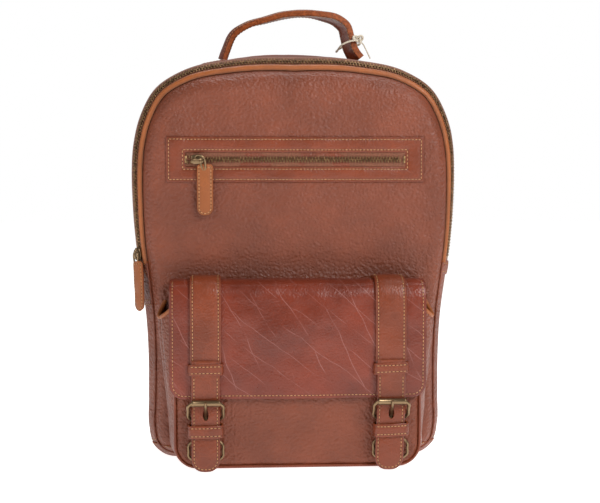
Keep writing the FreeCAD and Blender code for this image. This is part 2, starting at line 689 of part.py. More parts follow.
def handle():
    low = S.handle_hinge - S.foot_radius - 1
    top = S.handle_shoulder
    thick = S.handle_thick
    outer = arch("handle_out", [(S.handle_half, low), (S.handle_top_half, top)], low, top, S.handle_crown,
                 (S.handle_radius, None, None), S.handle_y + 20, S.handle_y - 20)
    inner = arch("handle_in", [(S.handle_half - thick, low - 5), (S.handle_top_half - thick, top - thick)],
                 low - 5, top - thick, S.handle_crown, (S.handle_radius - thick, None, None),
                 S.handle_y + 25, S.handle_y - 25)
    ring = cut("handle_ring", outer, inner)
    y, wide, foot = S.handle_y, S.handle_width / 2, S.foot_radius
    points = [(y - foot, S.handle_hinge), (y - foot, S.handle_hinge + 1), (y - wide, S.handle_flare),
              (y - wide, top + 30), (y + wide, top + 30), (y + wide, S.handle_flare),
              (y + foot, S.handle_hinge + 1), (y + foot, S.handle_hinge)]
    taper = side_shape("handle_taper", points, S.handle_half + 10)
    ends = rod("handle_ends", (-S.handle_half - 10, y, S.handle_hinge), "X", foot, 2 * S.handle_half + 20)
    common("handle", ring, fuse("handle_mask", [taper, ends]), True)
    skin = cut("patch_skin", bag("patch_out", -S.patch_thick, S.patch_back, S.patch_front, 5),
               bag("patch_in", 0, S.patch_back + 1, S.patch_front - 1, 0))
    spots = []
    for side in (-1, 1):
        x = (S.patch_in, S.patch_out) if side > 0 else (-S.patch_out, -S.patch_in)
        spots.append(box("patch_spot", x, (S.patch_front, S.patch_back), (S.shoulder - 40, S.shoulder + 40)))
    common("handle_feet", skin, fuse("patch_spots", spots), True)


def tag():
    """A string looped round the handle's right leg, with its knot and a short tail."""
    ring = doc.addObject("Part::Torus", "TagLoop")
    bind(ring, "Radius1", S.tag_major)
    bind(ring, "Radius2", S.tag_wire)
    leg = tag_leg()
    place(ring, leg, S.handle_y, S.tag_z)
    named(ring, "tag_loop", True)
    ball = doc.addObject("Part::Sphere", "TagKnot")
    bind(ball, "Radius", S.tag_ball)
    place(ball, S.tag_x, S.handle_y, S.tag_z)
    named(ball, "tag_knot", True)


def tag_leg():
    """Middle of the handle's leg at the string's height."""
    rise = (S.tag_z - S.handle_hinge + S.foot_radius + 1) / (S.handle_shoulder - S.handle_hinge + S.foot_radius + 1)
    return S.handle_half - (S.handle_half - S.handle_top_half) * rise - S.handle_thick / 2


def slanted(obj, side):
    """Set a shoulder-strap piece, built upright at the origin, on its slanted line."""
    place(obj, side * S.anchor_x, S.back_face, S.anchor_z)
    return turn(obj, (0, 1, 0), -side * S.slant)


def run(distance, offset):
    """A point along the lower strap's line, and out from it."""
    y = S.eye_y + S.run_y * distance - S.run_z * offset
    z = S.web_eye_z + S.run_z * distance + S.run_y * offset
    return y, z


def shoulder_pad(side, word):
    thick = S.pad_thick
    points = [(7, 346), (37, 290), (46, 240), (45, 205), (45, 171), (size(45) + thick, 171),
              (size(45) + thick, 205), (size(46.5) + thick, 243), (size(38) + thick, 298), (size(8) + thick, 348)]
    profile = side_shape("pad_profile", points, S.pad_half + 5)
    wide, end, tab = S.pad_half, S.pad_end_half, S.pad_tab_half
    right = [(tab, 165), (tab, 182), (wide - 5, 196), (wide, 225), (wide, 300), (end, 352)]
    outline = [(-size(x), z) for x, z in right[::-1]] + right
    blank = common("pad_blank", profile, front_shape("pad_outline", outline, size(80), size(-20)))
    bore = rod("pad_bore", (-40, S.eye_y, S.pad_eye_z), "X", S.link_bore, 80)
    slanted(cut("shoulder_pad_" + word, blank, bore, True), side)


def lower_strap(side, word):
    half = S.web_thick / 2
    start, end = 3, S.web_length
    points = [run(start, half), run(end, half), run(end, -half), run(start, -half)]
    slab = side_shape("web_slab", points, S.web_half)
    eye = rod("web_eye_out", (-S.web_half, S.eye_y, S.web_eye_z), "X", S.web_eye, 2 * S.web_half)
    bore = rod("web_eye_in", (-S.web_half - 1, S.eye_y, S.web_eye_z), "X", S.link_bore, 2 * S.web_half + 2)
    slanted(cut("lower_strap_" + word, fuse("web_whole", [slab, eye]), bore, True), side)


def adjuster(side, word):
    low, high = S.glide_start, S.glide_start + S.glide_length
    out, inner = S.glide_out, S.glide_in
    block = side_shape("glide_block", [run(low, out), run(high, out), run(high, -out), run(low, -out)], S.glide_half)
    hole = side_shape("glide_hole", [run(low - 1, inner), run(high + 1, inner), run(high + 1, -inner),
                                     run(low - 1, -inner)], S.glide_inner)
    slanted(cut("strap_adjuster_" + word, block, hole, True), side)


def anchor(side, half, heights, end):
    """A sewn-down leather patch, rounded at the end where the strap meets it."""
    thick = S.anchor_thick
    patch = box("anchor_patch", (-half, half), (size(0), thick), heights)
    nose = rod("anchor_nose", (-half, thick / 2, heights[end]), "X", thick / 2, 2 * half)
    return slanted(fuse("anchor", [patch, nose]), side)


def shoulder_straps():
    tops, lows = [], []
    for side, word in ((-1, "left"), (1, "right")):
        shoulder_pad(side, word)
        lower_strap(side, word)
        adjuster(side, word)
        ring = wire_loop("pad_ring_" + word, (size(0), S.eye_y), S.link_frame_half, S.pad_eye_z, S.web_eye_z,
                         S.link_bar, True)
        slanted(ring, side)
        tops.append(anchor(side, S.anchor_half, (S.top_anchor_low, S.top_anchor_high), 0))
        lows.append(anchor(side, S.low_anchor_half, (S.low_anchor_low, S.low_anchor_high), 1))
    group("strap_top_anchors", tops)
    group("strap_bottom_anchors", lows)


def check_and_write():
    doc.recompute()
    for obj in doc.Objects:
        if "Invalid" in obj.State or "Error" in obj.State:
            raise RuntimeError("%s is %s" % (obj.Label, obj.State))
    for obj in NODES:
        shape = obj.Shape
        if shape.isNull() or not shape.isValid() or not shape.Solids:
            raise RuntimeError("bad shape in " + obj.Label)
    os.makedirs("parts", exist_ok=True)
    for obj in NODES:
        obj.Shape.exportStep("parts/%s.step" % obj.Label)
        span = obj.Shape.BoundBox
        print("%-22s %2d %9.1f  x %.1f %.1f  y %.1f %.1f  z %.1f %.1f" % (
            obj.Label, len(obj.Shape.Solids), obj.Shape.Volume, span.XMin, span.XMax, span.YMin, span.YMax,
            span.ZMin, span.ZMax))


split_shell()
main_zip()
inside()
front_pocket()
flap()
strap_set()
buckles()
front_zip()
front_pull()
main_pull()
handle()
tag()
shoulder_straps()
check_and_write()
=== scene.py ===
"""Leather backpack: the finished look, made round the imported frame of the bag."""

import json
import math
from bisect import bisect_left

import bmesh
import bpy
import numpy as np
from bpy.props import FloatProperty, FloatVectorProperty, PointerProperty
from mathutils import Matrix, Vector, noise
from mathutils.bvhtree import BVHTree

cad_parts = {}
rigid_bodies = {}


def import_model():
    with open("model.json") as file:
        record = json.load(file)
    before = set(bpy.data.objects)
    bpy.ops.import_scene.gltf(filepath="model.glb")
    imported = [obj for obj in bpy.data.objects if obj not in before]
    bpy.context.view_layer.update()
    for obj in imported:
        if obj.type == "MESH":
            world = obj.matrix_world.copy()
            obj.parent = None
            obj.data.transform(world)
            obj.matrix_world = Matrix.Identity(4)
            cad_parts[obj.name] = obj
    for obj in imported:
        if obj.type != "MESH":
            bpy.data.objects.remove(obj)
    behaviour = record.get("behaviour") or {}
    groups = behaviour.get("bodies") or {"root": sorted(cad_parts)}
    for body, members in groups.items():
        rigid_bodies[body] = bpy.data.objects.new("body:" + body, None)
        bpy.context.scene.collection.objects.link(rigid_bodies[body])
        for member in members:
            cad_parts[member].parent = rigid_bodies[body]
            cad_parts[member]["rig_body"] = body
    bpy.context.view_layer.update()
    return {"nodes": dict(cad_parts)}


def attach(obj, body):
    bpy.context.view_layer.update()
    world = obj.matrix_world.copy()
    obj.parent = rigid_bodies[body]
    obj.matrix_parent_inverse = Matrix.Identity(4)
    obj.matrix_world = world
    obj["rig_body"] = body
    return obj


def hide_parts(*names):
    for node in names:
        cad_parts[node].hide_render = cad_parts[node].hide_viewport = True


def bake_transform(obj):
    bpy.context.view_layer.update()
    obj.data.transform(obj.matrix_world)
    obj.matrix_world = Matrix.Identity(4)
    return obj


bl_info = {
    "name": "Leather Backpack",
    "version": (1, 0, 0),
    "blender": (4, 5, 0),
    "location": "View3D > Sidebar > Backpack",
    "description": "Makes a leather backpack with a buckled flap pocket, two zips and padded straps",
    "category": "Add Mesh",
}

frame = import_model()
MM = 0.001


def linear(code):
    """An sRGB hex colour as the linear values that Blender works in."""
    parts = [int(code[i:i + 2], 16) / 255 for i in (1, 3, 5)]
    return tuple(p / 12.92 if p <= 0.04045 else ((p + 0.055) / 1.055) ** 2.4 for p in parts)


def length_property(name, description, millimetres):
    return FloatProperty(name=name, description=description, default=millimetres * MM, min=0, precision=4,
                         subtype="DISTANCE", unit="LENGTH")


def colour_property(name, description, code):
    return FloatVectorProperty(name=name, description=description, default=linear(code), min=0, max=1,
                               subtype="COLOR", size=3)


class BackpackSizes(bpy.types.PropertyGroup):
    """Sizes of the leather, the seams and the zips"""

    hide: length_property("Hide", "Thickness of the body leather", 2.2)
    flap_hide: length_property("Flap hide", "Thickness of the flap, two hides glued together", 3)
    strap_hide: length_property("Strap hide", "Thickness of the flap straps", 3.2)
    stitch: length_property("Stitch", "Distance from one stitch to the next", 3.5)
    thread: length_property("Thread", "Width of the sewing thread", 0.75)
    seam: length_property("Seam", "Distance of a row of stitches from the edge beside it", 3)
    tooth: length_property("Tooth", "Distance between two teeth of one row of a zip", 3.2)
    wire: length_property("Wire", "Thickness of the buckle wire", 3.4)


class BackpackColours(bpy.types.PropertyGroup):
    """Colours of the leather, metal and cloth"""

    body: colour_property("Body", "Red-brown cowhide of the bag", "#713721")
    flap: colour_property("Flap", "Pull-up cowhide of the flap", "#6b2814")
    trim: colour_property("Trim", "Tan cowhide of straps and zip frame", "#713219")
    tab: colour_property("Zip pulls", "Light tan leather of the zip pulls", "#925024")
    edge: colour_property("Raw edge", "Cut and painted edges of the leather", "#994f25")
    tape: colour_property("Zip tape", "Woven tape of the zips", "#7b4830")
    thread: colour_property("Thread", "Waxed sewing thread", "#c2925f")
    brass: colour_property("Brass", "Antique brass of buckles and zips", "#8f7150")
    lining: colour_property("Lining", "Cotton lining cloth", "#4a3227")


def sizes():
    return bpy.context.scene.backpack_sizes


def colours():
    return bpy.context.scene.backpack_colours


def in_mm(value):
    return value / MM


# ---------------------------------------------------------------- selecting, making and finishing meshes

def select_only(obj):
    bpy.ops.object.select_all(action="DESELECT")
    obj.select_set(True)
    bpy.context.view_layer.objects.active = obj


def new_from(add, name, **settings):
    """One primitive, alone selected and named."""
    bpy.ops.object.select_all(action="DESELECT")
    add(**settings)
    obj = bpy.context.object
    obj.name = name
    return obj


def in_edit_mode(obj, *steps):
    """Runs edit-mode operators on the whole of obj; each step is an operator and its settings."""
    select_only(obj)
    bpy.ops.object.mode_set(mode="EDIT")
    bpy.ops.mesh.select_all(action="SELECT")
    for operator, settings in steps:
        operator(**settings)
    bpy.ops.object.mode_set(mode="OBJECT")


def weld(obj, millimetres=0.02):
    in_edit_mode(obj, (bpy.ops.mesh.remove_doubles, {"threshold": millimetres * MM}))


def outward(obj):
    in_edit_mode(obj, (bpy.ops.mesh.normals_make_consistent, {"inside": False}))


def with_modifier(obj, kind, **settings):
    """Adds a modifier and applies it."""
    select_only(obj)
    modifier = obj.modifiers.new(kind.lower(), kind)
    for name, value in settings.items():
        setattr(modifier, name, value)
    bpy.ops.object.modifier_apply(modifier=modifier.name)
    return obj


def thicken(obj, millimetres, rim=1):
    """Gives a sheet a wall, inwards from its outer side, its cut rim in the next material."""
    return with_modifier(obj, "SOLIDIFY", thickness=millimetres * MM, offset=-1, material_offset_rim=rim)


def soften(obj, millimetres, segments=2, degrees=38):
    return with_modifier(obj, "BEVEL", width=millimetres * MM, segments=segments, limit_method="ANGLE",
                         angle_limit=math.radians(degrees), harden_normals=False)


def subdivide(obj, levels=1):
    return with_modifier(obj, "SUBSURF", levels=levels, render_levels=levels)


def smooth(obj, degrees=40):
    select_only(obj)
    bpy.ops.object.shade_smooth_by_angle(angle=math.radians(degrees))


def settle(obj):
    """Puts the object at the origin, unturned and unscaled, with its place in its mesh."""
    select_only(obj)
    bpy.ops.object.transform_apply(location=True, rotation=True, scale=True)


def joined(name, parts):
    """Several meshes as one piece."""
    bpy.ops.object.select_all(action="DESELECT")
    for part in parts:
        part.select_set(True)
    bpy.context.view_layer.objects.active = parts[0]
    if len(parts) > 1:
        bpy.ops.object.join()
    parts[0].name = name
    parts[0].data.name = name
    return parts[0]


def dress(obj, *materials):
    obj.data.materials.clear()
    for material in materials:
        obj.data.materials.append(material)
    return obj


def hand_over(obj, body, slot, *nodes):
    """The finished piece rides on its body and stands for its CAD nodes."""
    smooth(obj)
    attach(obj, body)
    if nodes:
        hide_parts(*nodes)
    return obj


# ---------------------------------------------------------------- lines and surfaces, in millimetres

def spread(obj, first, second, start, end):
    """Takes a soft piece off its body and leaves it where it is; first, second, start and end are not used."""
    if obj is None:
        return
    obj.parent = None
    if "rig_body" in obj:
        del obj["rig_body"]
    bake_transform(obj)


class Line:
    """A smooth line through a few points, read by the distance along it."""

    def __init__(self, points, closed=False, fineness=14):
        given = np.array(points, float)
        given = given[np.concatenate([[True], np.linalg.norm(np.diff(given, axis=0), axis=1) > 1e-6])]
        if closed:
            given = np.vstack([given[-2:], given, given[:2]])
        gaps = np.linalg.norm(np.diff(given, axis=0), axis=1)
        slopes = np.diff(given, axis=0) / gaps[:, None]
        tangents = np.vstack([slopes[:1], (slopes[:-1] * gaps[1:, None] + slopes[1:] * gaps[:-1, None])
                              / (gaps[:-1] + gaps[1:])[:, None], slopes[-1:]])
        t = np.linspace(0, 1, fineness, endpoint=False)[:, None]
        spans = []
        first, last = (2, len(given) - 2) if closed else (0, len(given) - 1)
        for i in range(first, last):
            spans.append((2 * t**3 - 3 * t**2 + 1) * given[i] + (t**3 - 2 * t**2 + t) * gaps[i] * tangents[i]
                         + (3 * t**2 - 2 * t**3) * given[i + 1] + (t**3 - t**2) * gaps[i] * tangents[i + 1])
        self.points = np.vstack(spans + [given[last:last + 1]])
        steps = np.linalg.norm(np.diff(self.points, axis=0), axis=1)
        self.distances = [0.0, *np.cumsum(steps).tolist()]
        self.length = self.distances[-1]

    def at(self, distance):
        after = min(max(1, bisect_left(self.distances, distance)), len(self.distances) - 1)
        low, high = self.distances[after - 1], self.distances[after]
        share = min(1, max(0, (distance - low) / max(1e-9, high - low)))
        return self.points[after - 1] * (1 - share) + self.points[after] * share

    def direction(self, distance, reach=0.5):
        low, high = max(0, distance - reach), min(self.length, distance + reach)
        ahead = self.at(high) - self.at(low)
        return ahead / max(1e-9, np.linalg.norm(ahead))


def ease(low, high, value):
    """From 0 at low to 1 at high, with soft ends."""
    t = min(1, max(0, (value - low) / (high - low)))
    return t * t * (3 - 2 * t)


def ripple(x, y, z, wave, height, seed=0):
    """Soft irregular relief with waves of about that length."""
    return height * noise.noise(Vector((x / wave + seed, y / wave, z / wave)))


def hump(x, z, at_x, at_z, wide, high, height):
    """One soft bump or dent on the front."""
    return height * math.exp(-((x - at_x) / wide) ** 2 - ((z - at_z) / high) ** 2)


def sheet(name, columns, rows, shape, seam=None):
    """A grid whose points shape(u, v) places, with u and v from 0 to 1. seam(u, v) says how deep in a seam it is, kept
    as the amount of painted shade there.
    """
    obj = new_from(bpy.ops.mesh.primitive_grid_add, name, x_subdivisions=columns, y_subdivisions=rows, size=2)
    depth = []
    for vertex in obj.data.vertices:
        u, v = (vertex.co.x + 1) / 2, (vertex.co.y + 1) / 2
        vertex.co = Vector(shape(u, v)) * MM
        depth.append(seam(u, v) if seam else 0.0)
    # The seam attribute holds painted shade: how far the leather's colour is darkened in seams and grooves.
    obj.data.attributes.new("seam", "FLOAT", "POINT").data.foreach_set("value", depth)
    return obj


def wire(name, points, radius, closed=False, radii=None, fineness=10, sides=3):
    """A bent wire through points, as a mesh."""
    line = Line(points, closed, fineness)
    count = max(8, int(line.length / max(0.5, radius * 0.55)))
    curve = bpy.data.curves.new(name, "CURVE")
    curve.dimensions = "3D"
    curve.bevel_depth = radius * MM
    curve.bevel_resolution = sides
    curve.use_fill_caps = True
    spline = curve.splines.new("POLY")
    spline.points.add(count - (1 if closed else 0))
    for i, point in enumerate(spline.points):
        share = i / count
        point.co = (*(line.at(share * line.length) * MM), 1)
        point.radius = radii(share) if radii else 1
    spline.use_cyclic_u = closed
    obj = bpy.data.objects.new(name, curve)
    bpy.context.scene.collection.objects.link(obj)
    select_only(obj)
    bpy.ops.object.convert(target="MESH")
    obj.data.attributes.new("seam", "FLOAT", "POINT")
    return obj


def copies(name, template, frames):
    """One mesh with a copy of the template at every frame."""
    built = bmesh.new()
    for matrix in frames:
        one = template.data.copy()
        one.transform(matrix)
        built.from_mesh(one)
        bpy.data.meshes.remove(one)
    mesh = bpy.data.meshes.new(name)
    built.to_mesh(mesh)
    built.free()
    for material in template.data.materials:
        mesh.materials.append(material)
    obj = bpy.data.objects.new(name, mesh)
    bpy.context.scene.collection.objects.link(obj)
    return obj


def discard(obj):
    bpy.data.objects.remove(obj)


def frame_at(location, along, up):
    """A frame in metres at a place in millimetres, X along and Z up."""
    x = Vector(along).normalized()
    z = Vector(up)
    z = (z - x * z.dot(x)).normalized()
    y = z.cross(x)
    matrix = Matrix((x, y, z)).transposed().to_4x4()
    matrix.translation = Vector(location) * MM
    return matrix


def surface_of(*objects):
    """The surfaces of some pieces, for dropping stitches on."""
    trees = bpy.context.evaluated_depsgraph_get()
    return [BVHTree.FromObject(obj, trees) for obj in objects]


def sew(name, surfaces, rows, body, closed=False):
    """Rows of saddle stitches lying on the surfaces; each row is a list of points near them."""
    pitch = in_mm(sizes().stitch)
    frames = []
    for row in rows:
        line = Line(row, closed, 4)
        count = max(1, round(line.length / pitch))
        for i in range(count):
            middle = (i + 0.5) * line.length / count
            spot = Vector(line.at(middle)) * MM
            hits = [tree.find_nearest(spot) for tree in surfaces]
            place, normal = min((h for h in hits if h[0]), key=lambda h: h[3])[:2]
            frames.append(frame_at(place / MM + normal * 0.12, line.direction(middle), normal))
    template = stitch_template()
    obj = copies(name, template, frames)
    discard(template)
    smooth(obj, 60)
    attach(obj, body)
    return obj


def stitch_template():
    """One stitch: a plump length of thread and the needle hole beside it."""
    pitch, thread = in_mm(sizes().stitch), in_mm(sizes().thread)
    ball = {"segments": 6, "ring_count": 4}
    yarn = new_from(bpy.ops.mesh.primitive_uv_sphere_add, "yarn", radius=MM, rotation=(0, math.pi / 2, 0), **ball)
    yarn.scale = (thread * 0.42, thread / 2, pitch * 0.37)
    settle(yarn)
    hole = new_from(bpy.ops.mesh.primitive_uv_sphere_add, "hole", radius=MM, location=(pitch / 2 * MM, 0, -0.1 * MM),
                    **ball)
    hole.scale = (pitch * 0.13, thread * 0.55, thread * 0.2)
    settle(hole)
    dress(yarn, thread_material())
    dress(hole, needle_hole_material())
    return joined("stitch", [yarn, hole])


# ---------------------------------------------------------------- materials

def add_node(tree, kind, inputs=None, **settings):
    """Adds a node, sets its settings and fills its inputs with sockets or values."""
    node = tree.nodes.new(kind)
    for name, value in settings.items():
        setattr(node, name, value)
    for name, value in (inputs or {}).items():
        if isinstance(value, bpy.types.NodeSocket):
            tree.links.new(value, node.inputs[name])
        else:
            node.inputs[name].default_value = value
    return node


def new_material(name, **constants):
    """A material with its shader, and values that are the same all over set on the shader itself."""
    material = bpy.data.materials.new(name)
    material.use_nodes = True
    tree = material.node_tree
    shader = tree.nodes["Principled BSDF"]
    for socket, value in constants.items():
        shader.inputs[socket.replace("_", " ")].default_value = value
    return material, tree, shader


def once(make):
    """Makes a material the first time that it is asked for."""
    def kept():
        material = bpy.data.materials.get(make.__name__)
        if material is None:
            material = make()
            material.name = make.__name__
        return material
    return kept


def rgba(colour, brightness=1.0):
    return (*[min(1, c * brightness) for c in colour], 1)


def per_metre(millimetres):
    """The scale of a pattern whose grains are that wide."""
    return 1 / (millimetres * MM)


def pattern(tree, place, kind, millimetres, **inputs):
    """A noise or Voronoi pattern with features of a real size."""
    settings = {}
    if kind == "ShaderNodeTexVoronoi":
        settings["feature"] = inputs.pop("feature", "F1")
    return add_node(tree, kind, {"Vector": place, "Scale": per_metre(millimetres), **inputs}, **settings)


def ranged(tree, value, low, high, to_low=0.0, to_high=1.0):
    return add_node(tree, "ShaderNodeMapRange", {"Value": value, "From Min": low, "From Max": high,
                                                 "To Min": to_low, "To Max": to_high}).outputs["Result"]


def times(tree, a, b):
    return add_node(tree, "ShaderNodeMath", {0: a, 1: b}, operation="MULTIPLY").outputs[0]


def mixed(tree, share, a, b):
    return add_node(tree, "ShaderNodeMix", {0: share, 6: a, 7: b}, data_type="RGBA").outputs[2]


def bumped(tree, height, strength, millimetres, normal=None):
    inputs = {"Height": height, "Strength": strength, "Distance": millimetres * MM}
    if normal:
        inputs["Normal"] = normal
    return add_node(tree, "ShaderNodeBump", inputs).outputs["Normal"]


def cowhide(colour, rough, pebble, relief, crease, vein, patch=0.5, coat=0.0, sheen=0.0):
    """Full-grain cowhide, drum dyed: clouded colour, pebbled grain, fine creases, wear where it bends, and painted
    shade in its seams.
    """
    material, tree, shader = new_material("cowhide", Coat_Weight=coat, Coat_Roughness=0.32, Specular_IOR_Level=0.4,
                                          Sheen_Weight=sheen, Sheen_Roughness=0.45)
    place = add_node(tree, "ShaderNodeTexCoord").outputs["Object"]
    clouds = pattern(tree, place, "ShaderNodeTexNoise", 55, Detail=4.0, Roughness=0.6).outputs["Fac"]
    mottle = pattern(tree, place, "ShaderNodeTexNoise", 7, Detail=5.0, Roughness=0.65).outputs["Fac"]
    dark, light = rgba(colour, 0.66), rgba(colour, 1.42)
    tint = mixed(tree, ranged(tree, clouds, 0.36, 0.64, 0.5 - patch / 2, 0.5 + patch / 2), dark, light)
    tint = mixed(tree, ranged(tree, mottle, 0.3, 0.75, 0.0, 0.55), tint, rgba(colour, 0.95))
    shaken = add_node(tree, "ShaderNodeVectorMath", {0: place, 1: add_node(tree, "ShaderNodeVectorMath", {
        0: pattern(tree, place, "ShaderNodeTexNoise", 11, Detail=3.0).outputs["Color"],
        1: (0.0035, 0.0035, 0.0035)}, operation="MULTIPLY").outputs[0]}).outputs[0]
    grain = pattern(tree, shaken, "ShaderNodeTexVoronoi", pebble, feature="SMOOTH_F1").outputs["Distance"]
    fine = pattern(tree, place, "ShaderNodeTexNoise", 0.9, Detail=2.0).outputs["Fac"]
    normal = bumped(tree, grain, relief, 0.8)
    normal = bumped(tree, fine, relief * 0.7, 0.35, normal)
    lines = pattern(tree, shaken, "ShaderNodeTexVoronoi", 9, feature="DISTANCE_TO_EDGE").outputs["Distance"]
    where = ranged(tree, pattern(tree, place, "ShaderNodeTexNoise", 38, Detail=1.0).outputs["Fac"], 0.44, 0.62)
    creases = times(tree, ranged(tree, lines, 0.0, 0.07, 1.0, 0.0), where)
    tint = mixed(tree, times(tree, creases, crease * 0.6), tint, light)
    normal = bumped(tree, creases, -crease if crease else 0.0, 0.7, normal)
    if vein:
        pale = None
        for slope, apart, seed in ((-38, 60, 0.0), (-62, 85, 0.3)):
            turned = add_node(tree, "ShaderNodeMapping", {"Vector": place, "Rotation": (0, math.radians(slope), 0),
                                                          "Location": (seed, seed, 0)}).outputs[0]
            waves = add_node(tree, "ShaderNodeTexWave", {
                "Vector": turned, "Scale": per_metre(apart), "Distortion": 3.5, "Detail": 3.0, "Detail Scale": 0.7,
                "Detail Roughness": 0.5}, wave_type="BANDS", bands_direction="Z", wave_profile="TRI").outputs["Fac"]
            shown = ranged(tree, pattern(tree, turned, "ShaderNodeTexNoise", 32, Detail=2.0).outputs["Fac"], 0.42, 0.56)
            lines = times(tree, ranged(tree, waves, 0.955, 0.99), shown)
            pale = lines if pale is None else add_node(
                tree, "ShaderNodeMath", {0: pale, 1: lines}, operation="MAXIMUM").outputs[0]
        tint = mixed(tree, times(tree, pale, vein), tint, rgba([c * 1.3 + 0.06 for c in colour]))
        normal = bumped(tree, pale, -0.35, 0.6, normal)
    # Painted shade: the seam attribute darkens the colour in seams, stitch grooves, tucked edges and above the flap.
    seam = add_node(tree, "ShaderNodeAttribute", attribute_name="seam").outputs["Fac"]
    tint = mixed(tree, times(tree, seam, 0.75), tint, rgba(colour, 0.3))
    shader_links = {"Base Color": tint, "Normal": normal,
                    "Roughness": ranged(tree, mottle, 0.3, 0.7, rough - 0.08, rough + 0.1)}
    for socket, value in shader_links.items():
        tree.links.new(value, shader.inputs[socket])
    return material


@once
def pebbled_cowhide():
    """Body leather, drum-dyed and tumbled: a soft pebbled grain with a low waxy sheen."""
    return cowhide(colours().body, 0.42, 2.6, 1.3, 0.35, 0.0, patch=0.5)


@once
def pull_up_cowhide():
    """Flap leather, oiled pull-up: glossier, with pale growth veins that run slantwise and darker clouds."""
    return cowhide(colours().flap, 0.34, 1.8, 0.4, 0.5, 0.85, patch=0.75, coat=0.1)


@once
def strap_cowhide():
    """Strap leather, tan dyed and pressed: smoother, with crinkles across it and a light gloss."""
    return cowhide(colours().trim, 0.36, 1.8, 0.45, 0.75, 0.0, patch=0.6, coat=0.05)


@once
def pull_leather():
    """Zip-pull leather, vegetable tanned and lightly dyed: dry, light and finely crinkled."""
    return cowhide(colours().tab, 0.46, 1.3, 0.4, 0.6, 0.0, patch=0.5)


@once
def burnished_edge():
    """Cut leather edge, stained orange and burnished: fibrous and a little shiny."""
    material, tree, shader = new_material("edge", IOR=1.46)
    place = add_node(tree, "ShaderNodeTexCoord").outputs["Object"]
    fibre = pattern(tree, place, "ShaderNodeTexNoise", 2.5, Detail=4.0).outputs["Fac"]
    tint = mixed(tree, ranged(tree, fibre, 0.35, 0.65), rgba(colours().edge, 0.6), rgba(colours().edge, 1.2))
    tree.links.new(tint, shader.inputs["Base Color"])
    tree.links.new(ranged(tree, fibre, 0.3, 0.7, 0.4, 0.6), shader.inputs["Roughness"])
    tree.links.new(bumped(tree, fibre, 0.4, 0.3), shader.inputs["Normal"])
    return material


@once
def antique_brass():
    """Die-cast brass, blackened and tumbled: brown and worn yellow in patches."""
    material, tree, shader = new_material("brass", Metallic=1.0)
    place = add_node(tree, "ShaderNodeTexCoord").outputs["Object"]
    patina = pattern(tree, place, "ShaderNodeTexNoise", 5, Detail=5.0, Roughness=0.7).outputs["Fac"]
    pits = pattern(tree, place, "ShaderNodeTexNoise", 0.8, Detail=2.0).outputs["Fac"]
    tint = mixed(tree, ranged(tree, patina, 0.38, 0.62), rgba(colours().brass, 0.42), rgba(colours().brass, 1.15))
    tree.links.new(tint, shader.inputs["Base Color"])
    tree.links.new(ranged(tree, patina, 0.35, 0.65, 0.5, 0.3), shader.inputs["Roughness"])
    tree.links.new(bumped(tree, pits, 0.25, 0.15), shader.inputs["Normal"])
    return material


@once
def zip_brass():
    """Stamped zip teeth, antique brass: darker than the buckles, dark and bright in small patches."""
    material, tree, shader = new_material("teeth", Metallic=1.0, Roughness=0.38)
    place = add_node(tree, "ShaderNodeTexCoord").outputs["Object"]
    wear = pattern(tree, place, "ShaderNodeTexNoise", 3, Detail=3.0).outputs["Fac"]
    tint = mixed(tree, ranged(tree, wear, 0.35, 0.65), rgba(colours().brass, 0.4), rgba(colours().brass, 1.3))
    tree.links.new(tint, shader.inputs["Base Color"])
    return material


def woven(colour, thread, rough, depth=0.5):
    """Plain-woven cloth: threads over and under each other, laid out along the object's own axes."""
    material, tree, shader = new_material("woven", Sheen_Weight=0.25, Sheen_Roughness=0.5, Roughness=rough)
    place = add_node(tree, "ShaderNodeTexCoord").outputs["Object"]
    checks = add_node(tree, "ShaderNodeTexChecker", {"Vector": place, "Scale": per_metre(thread)}).outputs["Fac"]
    fuzz = pattern(tree, place, "ShaderNodeTexNoise", thread * 1.5, Detail=4.0).outputs["Fac"]
    shade = pattern(tree, place, "ShaderNodeTexNoise", 20, Detail=2.0).outputs["Fac"]
    tint = mixed(tree, ranged(tree, fuzz, 0.3, 0.7), rgba(colour, 0.62), rgba(colour, 1.25))
    tint = mixed(tree, ranged(tree, shade, 0.35, 0.7, 0.0, 0.4), tint, rgba(colour, 0.7))
    tree.links.new(tint, shader.inputs["Base Color"])
    normal = bumped(tree, checks, depth * 0.5, thread * 0.3)
    tree.links.new(bumped(tree, fuzz, depth, thread * 0.5, normal), shader.inputs["Normal"])
    return material


@once
def zip_twill():
    """Polyester zip tape, woven as a close twill: matt, a little fuzzy. Threads drawn 0.9 mm to show."""
    return woven(colours().tape, 0.9, 0.8)


@once
def cotton_lining():
    """Cotton drill lining, woven: dull and soft. Threads drawn 1 mm to show."""
    return woven(colours().lining, 1.0, 0.85)


@once
def foam_padding():
    """Cut polyurethane foam behind a knit backing: dry, with fine open cells."""
    return woven(linear("#5b5048"), 1.6, 0.9, 0.8)


@once
def fibreboard():
    """Pressed fibreboard of the base: grey-brown, flecked and dry."""
    return woven(linear("#6d5a48"), 2.2, 0.85, 0.3)


@once
def cotton_twine():
    """Unbleached cotton twine, twisted from two strands: off-white and hairy."""
    return woven(linear("#d9cdb8"), 0.7, 0.8, 0.7)


@once
def thread_material():
    """Waxed polyester thread: pale tan with a slight gloss, twisted."""
    material, tree, shader = new_material("thread", Roughness=0.5)
    place = add_node(tree, "ShaderNodeTexCoord").outputs["Object"]
    twist = pattern(tree, place, "ShaderNodeTexNoise", 2.2, Detail=2.0).outputs["Fac"]
    tint = mixed(tree, ranged(tree, twist, 0.3, 0.7), rgba(colours().thread, 0.62), rgba(colours().thread, 1.1))
    tree.links.new(tint, shader.inputs["Base Color"])
    tree.links.new(bumped(tree, twist, 0.4, 0.2), shader.inputs["Normal"])
    return material


